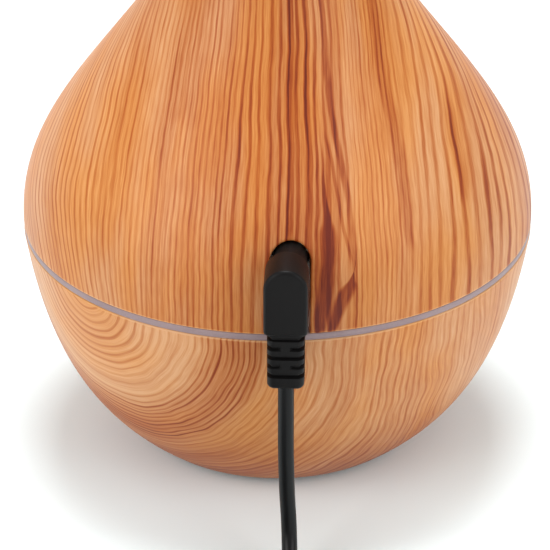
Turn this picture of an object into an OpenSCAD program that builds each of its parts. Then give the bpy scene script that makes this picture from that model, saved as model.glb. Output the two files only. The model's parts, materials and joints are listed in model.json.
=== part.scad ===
// Ultrasonic essential oil diffuser with a vase-shaped wood-grain housing.
// Millimetres, +Z up. Origin: on the table under the middle of the body.
// The buttons face -Y and the power lead plugs in at the back, +Y.

/* [Body] */
// Widest diameter, at the light ring
body_d = 103; // [101:0.5:105]
// Height from the table to the mouth
body_h = 143; // [140:1:148]
// Height of the light ring's middle above the table
ring_z = 47.5; // [47:0.5:48]
// Height of the light ring's visible band
ring_h = 1.4; // [1:0.1:1.8]
// Diameter where the base turns under
foot_d = 59.4; // [58.4:0.2:60.4]
// Wall of the base and of the cover
wall = 2; // [1.8:0.1:2.2]
// Radius of the neck at its narrowest
neck_r = 13.5; // [13.3:0.1:15]
// Radius of the mouth's rim
mouth_r = 15.2; // [14.8:0.1:16]

/* [Tank] */
// Inner radius of the water tank
tank_r = 31; // [30:0.5:31]
// Height of the tank's floor, inside
tank_floor_z = 33; // [32.8:0.1:33.2]
// Height of the tank's rim
tank_rim_z = 80; // [79:0.5:80]
// Diameter of the ultrasonic disc
piezo_d = 20; // [19:0.5:20]

/* [Power inlet and plug] */
// Sideways place of the power inlet
jack_x = -4.4; // [-4.8:0.1:-4]
// Sideways place of the plug's body and of the lead
plug_x = -4; // [-4.4:0.1:-3.8]
// Height of the power inlet above the light ring
jack_rise = 14.3; // [14:0.1:14.4]
// Width of the cover's notch for the plug
notch_w = 7.6; // [7:0.1:7.8]
// Outer diameter of the power plug's barrel
barrel_d = 3.5; // [3.4:0.1:3.6]
// Width of the power plug's body
plug_w = 8; // [7.5:0.1:8.5]

/* [Lead] */
// Diameter of the power lead
lead_d = 3; // [2.8:0.1:3.2]
// Diameter of the stored coil at the middle of its turns
coil_mid_d = 36; // [34:1:38]

/* [Buttons] */
// Diameter of a button
button_d = 8; // [7:0.5:8.5]
// Distance between the two buttons
button_gap = 16; // [15:0.5:17]
// Travel of a button
button_travel = 0.6; // [0.4:0.1:0.8]

/* [Hidden] */
$fn = 64;
eps = 0.5;

// Outline of the housing
body_r = body_d / 2;
foot_r = foot_d / 2;
shell_z = 1.5;
ring_low = ring_z - ring_h / 2;
ring_top = ring_z + ring_h / 2;
steps = 14;
base_curve = [
    [foot_r, shell_z], [foot_r + 9, shell_z + 7.4], [body_r - 3.5, ring_z - 28.8], [body_r, ring_low]
];
shoulder_curve = [
    [body_r, ring_top], [body_r + 0.2, ring_z + 14.2], [body_r - 6.8, ring_z + 23.2],
    [32.4, ring_z + 38.7]
];
neck_curve = [
    [32.4, ring_z + 38.7], [17.5, ring_z + 57.5], [neck_r, ring_z + 63], [neck_r, ring_z + 82]
];
lip_curve = [
    [neck_r, ring_z + 82], [neck_r, ring_z + 88], [mouth_r - 0.8, body_h - 3], [mouth_r, body_h - 1]
];
rim_curve = [
    [mouth_r, body_h - 1], [mouth_r, body_h], [mouth_r - 0.6, body_h], [mouth_r - 1, body_h]
];

// Cover, mouth and mist guide
mouth_bore_r = 10.2;
mouth_flare = 3;
shoulder_stop_z = body_h - 7;
guide_wall = 1.2;
guide_tube_r = neck_r - wall - 0.3;
guide_skirt_r = tank_r - 1;
guide_low_z = tank_rim_z - 4;
guide_curve = [
    [guide_skirt_r, tank_rim_z + 2], [guide_skirt_r - 1, 92], [guide_tube_r, 95],
    [guide_tube_r, 110]
];
notch_y = [30, 60];

// Base
bottom_r = 27.5;
bottom_z = 1.6;
bottom_t = 2;
ledge_r = 25.6;
ledge_z = bottom_z + bottom_t;
ledge_t = 1.6;
ledge_clear = 0.4;
foot_pad_d = 8;
foot_ring_r = 22;
foot_recess = 0.5;
post_ring_r = 22.5;
post_r = 2.8;
post_low_z = ledge_z;
screw_r = 1;
head_r = 1.9;
head_t = 1.2;
post_screw_len = 9;
post_hole_len = 10;
post_gap = 0.3;
play = 0.05;
hair = 0.02;
grille_r = 10;
grille_pitch = 2.4;
grille_slot = 1.2;
grille_count = 4;

// Tank and deck
tank_wall = 1.8;
tank_out_r = tank_r + tank_wall;
tank_low_z = tank_floor_z - 2;
deck_r = body_r - wall - 0.7;
deck_t = 2;
deck_lip_h = 1.8;
deck_lip_w = 1.6;
deck_top = ring_top + deck_t;
seal_in_r = 44.5;
seal_out_r = 46.5;
seal_t = 1;
cover_play = 0.6;
fill_line_z = 74;
fill_line_h = 0.5;
fill_line_proud = 0.3;
lap = 0.2;

// Ultrasonic disc, its seal and clamp, from the tank's floor down
piezo_hole_r = 8;
piezo_boss_r = 18.5;
piezo_boss_low = tank_low_z - 4;
seal_r = 12.5;
seal_low = tank_low_z - 2.8;
disc_z = tank_low_z - 1.8;
disc_t = 1;
clamp_t = 1.2;
clamp_hole_r = 7;
clamp_screw_ring = 15.5;
clamp_screw_len = 4;
clamp_inset = 0.5;
clamp_neck_inset = 0.2;
clamp_hole_len = 6;

// Air duct on the tank's front
duct_w = 16;
duct_wall = 1.2;
duct_out_y = 42;
duct_root_y = -28;
duct_hollow_y = -20;
duct_hole_y = [-40, -34];
duct_slot_y = [-35, -25];
duct_top_z = 77;
duct_slot_w = 12;
duct_slot_z = [66, 74];

// Light
led_board_in = 42.5;
led_board_out = 46.5;
led_board_z = 40.6;
board_t = 1.6;
led_ring_r = 44.5;
led_count = 6;
led_w = 2.8;
led_h = 1;
led_tab_r = 40.5;
led_tab_start = 30;
led_tab_end_r = 2.8;
led_pillar_r = 2.2;
guide_leg_in = 43.5;
guide_leg_out = 46;
guide_leg_z = 44;

// Fan
fan_y = -7;
fan_w = 25;
fan_h = 7;
fan_z = ledge_z;
fan_bore_r = 11.6;
fan_tip_r = 11.1;
fan_hub_r = 5.5;
fan_hub_wall = 0.8;
fan_shaft_r = 0.75;
fan_blades = 7;
fan_screw_gap = 10;
fan_bearing_r = 1.6;
fan_bearing_h = 5.6;
fan_hole_skin = 0.8;
fan_screw_len = 8;
fan_plate_t = 0.8;
fan_arm_w = 1.4;
fan_arm_lap = 0.3;
fan_shaft_hole_z = 0.3;
fan_shaft_z = 0.4;
fan_shaft_len = 5.9;
fan_cap_t = 0.8;
fan_cap_skin = 0.3;
fan_blade_root = 0.7;
fan_rotor_z = [1.1, 6.7];
fan_blade_z = [1.3, 6.3];
fan_blade = [7.4, 8, 0.8];
fan_blade_mid = [8.2, 0, 3.8];
fan_blade_tilt = 42;
fan_coil_r = 3.9;
fan_coil_z = [1.4, 4.8];
fan_magnet_r = 4.2;
fan_magnet_z = [1.3, 5.2];

// Main board
main_z = 17;
main_r = 36;
main_front_y = 8.5;
pillar_x = 12;
pillar_y = 27;
pillar_r = 2.4;
board_screw_len = 6;
part_z = main_z + board_t;

// Parts on the main board. The choke is the disc's drive coil.
choke_at = [1, 25];
choke_r = 3.2;
choke_h = 8;
choke_flange_r = 4;
choke_flange_t = 1;
choke_dimple = 0.6;
// Each capacitor's x, y, radius and height
capacitor_list = [[-23, 20, 3.2, 8], [-24, 12.6, 2.5, 7], [4, 31, 2.5, 7]];
transistor_x = 26;
transistor_y = 19;
transistor_w = 10;
transistor_t = 2;
transistor_h = 9;
transistor_lift = 1;
transistor_leg_pitch = 2.5;
leg_w = 0.3;
leg_t = 0.2;
sink_w = 11;
sink_t = 1;
sink_h = 10;
sink_depth = 3.6;
sink_fin_pitch = 2.5;
sink_fin_t = 0.8;
sink_fins = 4;
chip_x = -8.5;
chip_y = 18;
chip_w = 5;
chip_d = 4;
chip_h = 1.6;
chip_lift = 0.2;
chip_legs = 4;
chip_leg_start = 0.5;
chip_leg_w = 0.4;
chip_leg_pitch = 1.27;
chip_leg_len = 0.8;
// Each connector's x, y and width
connector_list = [[-4, 33.2, 6], [7, 12, 6], [-6, 12, 6], [-15, 11, 5], [24, 26.4, 6]];
connector_d = 4;
connector_h = 4;

// Switch board and buttons
button_z = 34;
switch_w = 6;
switch_t = 3.5;
switch_front_y = -42.7;
plunger_r = 1.7;
plunger_len = 1;
plunger_depth = 2.4;
plunger_gap = 0.2;
flange_t = 0.8;
flange_y = switch_front_y - plunger_len;
switch_board_y = switch_front_y + switch_t;
switch_board_w = 38;
switch_board_low = 27.5;
switch_board_high = 40.3;
switch_screw_x = 16;
switch_screw_len = 5;
switch_boss_r = 2.4;
switch_boss_y = -44.6;
switch_hole_y = [-43, -30];
button_proud = 0.5;
button_play = 0.25;
button_flange = 0.9;
button_hole_y = [-60, -40];

// Power inlet
jack_z = ring_z + jack_rise;
jack_face_y = 42.6;
jack_depth = 9.6;
jack_w = 9;
jack_half_h = 3.8;
turret_wall = 1.2;
jack_mouth_r = 3.9;
jack_pin_r = 0.62;
jack_pin_back = 1.4;
jack_back_t = 1;
jack_mouth_reach = 5;
jack_wire_hole_half = 3;
jack_wire_hole_y = [34.5, 39];
barrel_len = 9;
barrel_in_r = 1.3;
barrel_grip = 2;
barrel_lip = 0.3;
contact_out_r = 0.98;
contact_in_r = 0.675;
contact_back = 0.5;

// Power plug
nose_r = 3.15;
nose_y = 43.4;
plug_y = 52.6;
plug_depth = 8;
plug_low_z = ring_z + 5.6;
plug_top_z = ring_z + 19;
plug_lap = 0.2;
relief_w = 6.9;
relief_d = 6.6;
groove_from = 0.6;
groove_reach = 5;
relief_low_z = ring_z - 6.1;
groove_pitch = 1.92;
groove_h = 0.9;
groove_depth = 0.7;
groove_count = 5;
lead_y = plug_y + plug_depth / 2;

// Route of the lead from the plug to the coil, then from the coil to the USB plug
lead_route = [
    [plug_x, lead_y, relief_low_z], [plug_x, lead_y, 38], [plug_x, lead_y, 33],
    [plug_x, lead_y, 28], [-4.1, 56.6, 22],
    [-4.3, 56.7, 16], [-4.6, 57.2, 11], [-4.8, 58.6, 7], [-5, 61.4, 3.9], [-5.2, 65.2, 2.1],
    [-5.4, 70, 1.6], [-5.4, 76, 1.6], [-5.4, 82, 1.7], [-5.4, 88, 1.9], [-5.4, 95, 2.1]
];
tail_route = [
    [15.6, 116, 8.2], [21, 116, 8.1], [24, 116, 7.6], [27, 116, 6.4], [30, 116, 4.9], [33, 116, 4]
];
// Routes of the wires inside, each of the first wire in its row
wire_d = 1.2;
jack_wire_d = 1.4;
ribbon_d = 2;
wire_end_z = part_z + connector_h;
piezo_route = [
    [-4, 2, disc_z], [-4, 2, 27], [-4, 2.6, 25], [-4, 5, 23.8], [-4, 9, 23.8], [-4, 11.6, 23.4],
    [-4, 12, wire_end_z]
];
fan_route = [
    [6, 5.5, 8], [6, 6.9, 9], [6, 7.2, 13], [6, 7.2, 18], [6, 7.8, 22], [6, 9.8, 24],
    [6, 12, wire_end_z]
];
jack_route = [
    [-5, 36.6, jack_z - jack_half_h], [-5, 36.6, 54], [-5, 36.8, 47], [-5, 37.2, 40],
    [-5, 36.8, 32], [-5, 35, 26], [-5, 33.2, wire_end_z]
];
led_route = [
    [32, 29, led_board_z], [32, 28.6, 36], [30, 28, 31], [26, 27, 27], [23, 26.4, wire_end_z]
];
switch_route = [
    [-9, switch_board_y + board_t, 29], [-13, -33, 27.6], [-20, -24, 25.6], [-23.4, -12, 24.4],
    [-23.4, 0, 24.4], [-20, 8, 24.2], [-16, 10.6, 23.6], [-15.6, 11, wire_end_z]
];
coil_x = 15.6;
coil_y = 95;
coil_low = 0.6;
turn_pitch = 3.05;
tie_t = 0.5;
tie_angle = 300;
tie_arc = 12;

// USB plug, lying flat
usb_y = 116;
usb_z = 4;
usb_relief_x = 33;
usb_body_x = 38;
usb_body_len = 19;
usb_body_w = 15.6;
usb_body_t = 8;
usb_shell_len = 12;
usb_shell_w = 12;
usb_shell_t = 4.5;
usb_skin = 0.3;
usb_sunk = 3;
usb_hollow_back = 2.4;
usb_relief_r = [2.2, 3.4];
usb_window_x = [5, 7.2];
usb_window_mid = 2.9;
usb_window_half = 1.1;
usb_tongue_back = 0.6;
usb_contact_x = [1, 1.8];
usb_contact_pitch = 2.4;
usb_contact_half = 0.5;
usb_contact_t = 0.1;

wood = [0.80, 0.51, 0.31];
white_plastic = [0.93, 0.93, 0.91];
black_plastic = [0.10, 0.10, 0.10];
steel = [0.75, 0.75, 0.77];
frosted = [0.66, 0.60, 0.62];
board_green = [0.10, 0.36, 0.22];
nickel = [0.80, 0.79, 0.76];
copper = [0.72, 0.42, 0.22];
silicone = [0.85, 0.85, 0.83];
brass = [0.78, 0.64, 0.33];

// A point and a direction on a cubic curve
function curve_at(c, t) =
    pow(1 - t, 3) * c[0] + 3 * pow(1 - t, 2) * t * c[1] + 3 * (1 - t) * t * t * c[2]
    + pow(t, 3) * c[3];
function curve_dir(c, t) =
    3 * pow(1 - t, 2) * (c[1] - c[0]) + 6 * (1 - t) * t * (c[2] - c[1]) + 3 * t * t * (c[3] - c[2]);
function unit(v) = v / norm(v);
// The curve as points, moved in by d along its normal
function curve(c, d = 0, n = steps) = [
    for (i = [0 : n]) curve_at(c, i / n) - d * turned(unit(curve_dir(c, i / n)))
];
function turned(v) = [v[1], -v[0]];
function without_first(list) = [for (i = [1 : len(list) - 1]) list[i]];
// The cover's outline on its inner side, moved in by d from the outer one
function cover_side(d) = concat(curve(shoulder_curve, d), without_first(curve(neck_curve, d)));

// A tube of n sides swept along a route. side is a direction that the route never runs along.
function route_dir(route, i) =
    unit(route[min(i + 1, len(route) - 1)] - route[max(i - 1, 0)]);
function ring_at(route, i, r, n, side) =
    let (
        t = route_dir(route, i),
        u = unit(cross(t, side)),
        v = cross(t, u)
    )
    [for (k = [0 : n - 1]) route[i] + r * (cos(k * 360 / n) * u + sin(k * 360 / n) * v)];
module tube(route, d, side, n = 8) {
    last = len(route) - 1;
    points = [for (i = [0 : last], p = ring_at(route, i, d / 2, n, side)) p];
    first_cap = [[for (k = [0 : n - 1]) k]];
    walls = [
        for (i = [0 : last - 1], k = [0 : n - 1])
            [i * n + k, (i + 1) * n + k, (i + 1) * n + (k + 1) % n, i * n + (k + 1) % n]
    ];
    last_cap = [[for (k = [0 : n - 1]) last * n + n - 1 - k]];
    polyhedron(points, concat(first_cap, walls, last_cap));
}
// Several wires side by side, a step apart
module wires(route, d, side, count, step) {
    for (k = [0 : count - 1])
        translate(k * step)
            tube(route, d, side);
}

module ring_of(count, radius, start = 0) {
    for (k = [0 : count - 1])
        rotate([0, 0, start + k * 360 / count])
            translate([radius, 0, 0])
                children();
}
module pipe(r_out, r_in, z_low, z_high) {
    translate([0, 0, z_low])
        difference() {
            cylinder(r = r_out, h = z_high - z_low);
            translate([0, 0, -eps])
                cylinder(r = r_in, h = z_high - z_low + 2 * eps);
        }
}
module block(x, y, z) {
    translate([x[0], y[0], z[0]])
        cube([x[1] - x[0], y[1] - y[0], z[1] - z[0]]);
}
// A cylinder that runs along +Y from y_low to y_high
module rod_y(x, z, r, y_low, y_high) {
    translate([x, y_high, z])
        rotate([90, 0, 0])
            cylinder(r = r, h = y_high - y_low);
}
// A screw that points up, its head's lower face at z
module screw_up(x, y, z, length) {
    translate([x, y, z])
        cylinder(r = head_r, h = head_t);
    translate([x, y, z + head_t])
        cylinder(r = screw_r - play, h = length);
}
module screw_down(x, y, z, length) {
    translate([x, y, z - head_t])
        cylinder(r = head_r, h = head_t);
    translate([x, y, z - head_t - length])
        cylinder(r = screw_r - play, h = length);
}
// All that lies inside the cover's inner wall, with a gap left to it
module inside_cover(gap) {
    side = cover_side(wall + gap);
    rotate_extrude($fn = 96)
        polygon(concat([[0, ring_top]], side, [[0, side[len(side) - 1][1]]]));
}

// ---- Base ----
module base_shell() {
    inner = [for (p = curve(base_curve, wall)) if (p[1] > ledge_z + ledge_t + ledge_clear) p];
    color(wood)
        difference() {
            union() {
                rotate_extrude($fn = 96)
                    difference() {
                        polygon(concat([[0, shell_z]], curve(base_curve), [[0, ring_low]]));
                        polygon(concat(
                            [[0, ledge_z + ledge_t], [inner[0][0] - 1, ledge_z + ledge_t]], inner,
                            [[body_r - wall, ring_low + eps], [0, ring_low + eps]]
                        ));
                        square([ledge_r, 2 * ledge_z + eps]);
                        square([bottom_r + play, ledge_z]);
                    }
                for (s = [-1, 1])
                    rod_y(s * switch_screw_x, button_z, switch_boss_r, switch_boss_y, switch_board_y);
            }
            for (s = [-1, 1]) {
                rod_y(
                    s * button_gap / 2, button_z, button_d / 2 + button_play, button_hole_y[0],
                    button_hole_y[1]
                );
                rod_y(s * switch_screw_x, button_z, screw_r, switch_hole_y[0], switch_hole_y[1]);
            }
        }
}
module bottom_cover() {
    color(black_plastic)
        difference() {
            translate([0, 0, bottom_z])
                cylinder(r = bottom_r, h = bottom_t);
            translate([0, 0, bottom_z - eps])
                ring_of(4, foot_ring_r)
                    cylinder(r = foot_pad_d / 2 + play, h = foot_recess + eps);
            translate([0, 0, bottom_z - eps])
                ring_of(4, post_ring_r, 45) {
                    cylinder(r = head_r + play, h = head_t + eps);
                    cylinder(r = screw_r, h = bottom_t + 2 * eps);
                }
            for (k = [-grille_count : grille_count]) {
                half = sqrt(grille_r * grille_r - pow(grille_pitch * k, 2)) + grille_slot / 2;
                y = fan_y + grille_pitch * k;
                block(
                    [-half, half], [y - grille_slot / 2, y + grille_slot / 2],
                    [bottom_z - eps, bottom_z + bottom_t + eps]
                );
            }
            for (x = [-1, 1], y = [-1, 1])
                translate([x * fan_screw_gap, fan_y + y * fan_screw_gap, bottom_z + fan_hole_skin])
                    cylinder(r = screw_r, h = bottom_t);
        }
}
module rubber_feet() {
    color(black_plastic)
        ring_of(4, foot_ring_r)
            cylinder(r = foot_pad_d / 2, h = bottom_z + foot_recess);
}
module bottom_screws() {
    color(steel)
        ring_of(4, post_ring_r, 45)
            screw_up(0, 0, bottom_z, post_screw_len);
}
module light_ring() {
    color(frosted)
        rotate_extrude($fn = 96)
            polygon([
                [guide_leg_in, guide_leg_z], [guide_leg_out, guide_leg_z],
                [guide_leg_out, ring_low], [body_r, ring_low], [body_r, ring_top],
                [guide_leg_in, ring_top]
            ]);
}
module deck_seal() {
    color(silicone)
        pipe(seal_out_r, seal_in_r, ring_top, ring_top + seal_t);
}

// ---- Tank ----
module tank_turret() {
    half_w = jack_w / 2 + turret_wall;
    intersection() {
        block(
            [jack_x - half_w, jack_x + half_w], [tank_r + lap, jack_face_y + turret_wall],
            [deck_top - eps, jack_z + jack_half_h + turret_wall]
        );
        inside_cover(cover_play);
    }
}
module tank() {
    color(white_plastic)
        difference() {
            union() {
                pipe(tank_out_r, tank_r, tank_low_z, tank_rim_z);
                translate([0, 0, tank_low_z])
                    cylinder(r = tank_out_r, h = tank_floor_z - tank_low_z);
                translate([0, 0, piezo_boss_low])
                    cylinder(r = piezo_boss_r, h = tank_floor_z - piezo_boss_low);
                pipe(tank_r + lap, tank_r - fill_line_proud, fill_line_z, fill_line_z + fill_line_h);
                translate([0, 0, post_low_z])
                    ring_of(4, post_ring_r, 45)
                        cylinder(r = post_r, h = tank_floor_z - post_low_z);
                for (s = [-1, 1])
                    translate([s * pillar_x, pillar_y, part_z])
                        cylinder(r = pillar_r, h = tank_floor_z - part_z);
            }
            // Seat of the ultrasonic disc
            translate([0, 0, piezo_boss_low - eps])
                cylinder(r = seal_r + play, h = tank_low_z - piezo_boss_low + eps);
            cylinder(r = piezo_hole_r, h = tank_floor_z + eps);
            // Screw holes
            translate([0, 0, post_low_z - eps])
                ring_of(4, post_ring_r, 45)
                    cylinder(r = screw_r, h = post_hole_len);
            translate([0, 0, piezo_boss_low - eps])
                ring_of(3, clamp_screw_ring, 90)
                    cylinder(r = screw_r, h = clamp_screw_len);
            for (s = [-1, 1])
                translate([s * pillar_x, pillar_y, part_z - eps])
                    cylinder(r = screw_r, h = board_screw_len);
            // Air slot near the rim
            block([-duct_slot_w / 2, duct_slot_w / 2], duct_slot_y, duct_slot_z);
        }
}
// The deck round the tank, with its lip, the light board's pillars and the power inlet's turret
module deck() {
    color(white_plastic)
        difference() {
            union() {
                pipe(deck_r, tank_out_r, ring_top, deck_top);
                pipe(deck_r, deck_r - deck_lip_w, deck_top - eps, deck_top + deck_lip_h);
                tank_turret();
                translate([0, 0, led_board_z + board_t])
                    ring_of(3, led_tab_r, led_tab_start)
                        cylinder(r = led_pillar_r, h = ring_top + eps - led_board_z - board_t);
            }
            cylinder(r = tank_out_r, h = tank_rim_z);
            // Groove for the deck's seal
            pipe(seal_out_r + play, seal_in_r - play, ring_top - eps, ring_top + seal_t);
            // Air hole under the duct
            block([-duct_slot_w / 2, duct_slot_w / 2], duct_hole_y, [ring_top - eps, deck_top + eps]);
            // Room for the power inlet, its mouth and its wires
            block(
                [jack_x - jack_w / 2 - play, jack_x + jack_w / 2 + play],
                [jack_face_y - jack_depth, jack_face_y],
                [jack_z - jack_half_h - play, jack_z + jack_half_h + play]
            );
            rod_y(jack_x, jack_z, jack_mouth_r, jack_face_y - eps, jack_face_y + jack_mouth_reach);
            block(
                [jack_x - jack_wire_hole_half, jack_x + jack_wire_hole_half], jack_wire_hole_y,
                [ring_top - eps, jack_z]
            );
        }
}
module air_duct() {
    color(white_plastic)
        difference() {
            intersection() {
                block([-duct_w / 2, duct_w / 2], [-duct_out_y, duct_root_y], [deck_top, duct_top_z]);
                inside_cover(cover_play);
            }
            intersection() {
                block(
                    [duct_wall - duct_w / 2, duct_w / 2 - duct_wall],
                    [duct_wall - duct_out_y, duct_hollow_y], [deck_top - eps, duct_top_z - duct_wall]
                );
                inside_cover(cover_play + duct_wall);
            }
            cylinder(r = tank_out_r + play, h = tank_rim_z);
        }
}

// ---- Ultrasonic disc ----
module piezo_disc() {
    color(nickel)
        translate([0, 0, disc_z])
            cylinder(r = piezo_d / 2, h = disc_t);
}
module piezo_seal() {
    color(silicone)
        difference() {
            pipe(seal_r, piezo_hole_r, seal_low, tank_low_z);
            translate([0, 0, disc_z])
                cylinder(r = piezo_d / 2 + play, h = disc_t);
        }
}
module piezo_clamp() {
    color(white_plastic)
        difference() {
            union() {
                translate([0, 0, piezo_boss_low - clamp_t])
                    cylinder(r = piezo_boss_r - clamp_inset, h = clamp_t);
                translate([0, 0, piezo_boss_low - clamp_t])
                    cylinder(r = seal_r - clamp_neck_inset, h = seal_low - piezo_boss_low + clamp_t);
            }
            translate([0, 0, piezo_boss_low - clamp_t - eps])
                cylinder(r = clamp_hole_r, h = clamp_hole_len);
            translate([0, 0, piezo_boss_low - clamp_t - eps])
                ring_of(3, clamp_screw_ring, 90)
                    cylinder(r = screw_r, h = clamp_screw_len);
        }
}
module piezo_screws() {
    color(steel)
        ring_of(3, clamp_screw_ring, 90)
            screw_up(0, 0, piezo_boss_low - clamp_t - head_t, clamp_screw_len);
}

// ---- Electronics ----
module main_board() {
    color(board_green)
        difference() {
            intersection() {
                translate([0, 0, main_z])
                    cylinder(r = main_r, h = board_t);
                block([-main_r, main_r], [main_front_y, main_r], [main_z - eps, part_z + eps]);
            }
            for (s = [-1, 1]) {
                translate([s * post_ring_r * cos(45), post_ring_r * sin(45), main_z - eps])
                    cylinder(r = post_r + post_gap, h = board_t + 2 * eps);
                translate([s * pillar_x, pillar_y, main_z - eps])
                    cylinder(r = screw_r, h = board_t + 2 * eps);
            }
        }
}
module board_screws() {
    color(steel)
        for (s = [-1, 1])
            screw_up(s * pillar_x, pillar_y, main_z - head_t, board_screw_len);
}
// A block that stands on the main board, z from the board's face
module on_board(x, y, z) {
    block(x, y, [part_z + z[0], part_z + z[1]]);
}
module drive_coil() {
    color(copper)
        translate([choke_at[0], choke_at[1], part_z])
            difference() {
                union() {
                    cylinder(r = choke_flange_r, h = choke_flange_t);
                    cylinder(r = choke_r, h = choke_h);
                    translate([0, 0, choke_h - choke_flange_t])
                        cylinder(r = choke_flange_r, h = choke_flange_t);
                }
                translate([0, 0, choke_h - choke_dimple])
                    cylinder(r = screw_r, h = choke_flange_t);
            }
}
module capacitors() {
    color([0.18, 0.20, 0.32])
        for (c = capacitor_list)
            translate([c[0], c[1], part_z])
                cylinder(r = c[2], h = c[3]);
}
module power_transistor() {
    half_w = transistor_w / 2;
    color(black_plastic)
        on_board(
            [transistor_x - half_w, transistor_x + half_w], [transistor_y - transistor_t, transistor_y],
            [transistor_lift, transistor_h]
        );
    color(steel)
        for (k = [-1 : 1])
            translate([transistor_x + k * transistor_leg_pitch, transistor_y - transistor_t / 2, 0])
                on_board([-leg_w, leg_w], [-leg_t, leg_t], [0, transistor_lift]);
}
module heat_sink() {
    low_x = transistor_x - sink_w / 2;
    color(steel)
        union() {
            on_board([low_x, low_x + sink_w], [transistor_y, transistor_y + sink_t], [0, sink_h]);
            for (k = [0 : sink_fins - 1])
                translate([low_x + k * sink_fin_pitch, 0, 0])
                    on_board(
                        [0, sink_fin_t], [transistor_y + sink_t, transistor_y + sink_depth],
                        [0, sink_h]
                    );
        }
}
module control_chip() {
    color(black_plastic)
        on_board([chip_x, chip_x + chip_w], [chip_y, chip_y + chip_d], [chip_lift, chip_h]);
    color(steel)
        for (k = [0 : chip_legs - 1], y = [chip_y - chip_leg_len, chip_y + chip_d])
            translate([chip_x + chip_leg_start + chip_leg_pitch * k, y, 0])
                on_board([0, chip_leg_w], [0, chip_leg_len], [0, chip_leg_w]);
}
module board_connectors() {
    color(white_plastic)
        union()
            for (c = connector_list)
                translate([c[0], c[1], 0])
                    on_board([-c[2] / 2, c[2] / 2], [-connector_d / 2, connector_d / 2], [0, connector_h]);
}
module led_board() {
    color(board_green)
        difference() {
            union() {
                pipe(led_board_out, led_board_in, led_board_z, led_board_z + board_t);
                translate([0, 0, led_board_z])
                    ring_of(3, led_tab_r, led_tab_start)
                        cylinder(r = led_tab_end_r, h = board_t);
            }
            translate([0, 0, led_board_z - eps])
                ring_of(3, led_tab_r, led_tab_start)
                    cylinder(r = screw_r, h = board_t + 2 * eps);
        }
}
module leds() {
    color([0.95, 0.93, 0.80])
        ring_of(led_count, led_ring_r)
            translate([-led_w / 2, -led_w / 2, led_board_z + board_t])
                cube([led_w, led_w, led_h]);
}

// ---- Fan ----
module fan_frame() {
    color(black_plastic)
        translate([0, fan_y, fan_z])
            difference() {
                union() {
                    difference() {
                        translate([-fan_w / 2, -fan_w / 2, 0])
                            cube([fan_w, fan_w, fan_h]);
                        translate([0, 0, -eps])
                            cylinder(r = fan_bore_r, h = fan_h + 2 * eps);
                    }
                    cylinder(r = fan_hub_r, h = fan_plate_t);
                    cylinder(r = fan_bearing_r, h = fan_bearing_h);
                    for (k = [0 : 2])
                        rotate([0, 0, 90 + 120 * k])
                            translate([0, -fan_arm_w / 2, 0])
                                cube([fan_bore_r + fan_arm_lap, fan_arm_w, fan_plate_t]);
                }
                translate([0, 0, fan_shaft_hole_z])
                    cylinder(r = fan_shaft_r + play, h = fan_h);
                for (x = [-1, 1], y = [-1, 1])
                    translate([x * fan_screw_gap, y * fan_screw_gap, -eps])
                        cylinder(r = screw_r, h = fan_h + 2 * eps);
            }
}
module fan_stator() {
    color(copper)
        translate([0, fan_y, fan_z])
            pipe(fan_coil_r, fan_bearing_r + play, fan_coil_z[0], fan_coil_z[1]);
}
module fan_screws() {
    color(steel)
        for (x = [-1, 1], y = [-1, 1])
            screw_down(
                x * fan_screw_gap, fan_y + y * fan_screw_gap, fan_z + fan_h + head_t, fan_screw_len
            );
}
module fan_rotor() {
    color(black_plastic)
        translate([0, fan_y, fan_z])
            difference() {
                union() {
                    translate([0, 0, fan_rotor_z[0]])
                        cylinder(r = fan_hub_r, h = fan_rotor_z[1] - fan_rotor_z[0]);
                    intersection() {
                        pipe(fan_tip_r, fan_hub_r - fan_blade_root, fan_blade_z[0], fan_blade_z[1]);
                        union() {
                            for (k = [0 : fan_blades - 1])
                                rotate([0, 0, k * 360 / fan_blades])
                                    translate(fan_blade_mid)
                                        rotate([fan_blade_tilt, 0, 0])
                                            cube(fan_blade, center = true);
                        }
                    }
                }
                translate([0, 0, fan_rotor_z[0] - eps])
                    cylinder(
                        r = fan_hub_r - fan_hub_wall,
                        h = fan_rotor_z[1] - fan_cap_t - fan_rotor_z[0] + eps
                    );
                cylinder(r = fan_shaft_r, h = fan_rotor_z[1] - fan_cap_skin);
            }
}
module fan_shaft() {
    color(steel)
        translate([0, fan_y, fan_z + fan_shaft_z])
            cylinder(r = fan_shaft_r, h = fan_shaft_len);
}
module fan_magnet() {
    color([0.25, 0.25, 0.27])
        translate([0, fan_y, fan_z])
            pipe(fan_hub_r - fan_hub_wall, fan_magnet_r, fan_magnet_z[0], fan_magnet_z[1]);
}

// ---- Power inlet ----
module dc_jack() {
    back_y = jack_face_y - jack_depth;
    color(black_plastic)
        difference() {
            block(
                [jack_x - jack_w / 2, jack_x + jack_w / 2], [back_y, jack_face_y],
                [jack_z - jack_half_h, jack_z + jack_half_h]
            );
            rod_y(jack_x, jack_z, barrel_d / 2 + play, back_y + jack_back_t, jack_face_y + eps);
        }
}
module jack_pin() {
    color(nickel)
        rod_y(
            jack_x, jack_z, jack_pin_r, jack_face_y - jack_depth + jack_back_t,
            jack_face_y - jack_pin_back
        );
}

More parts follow.
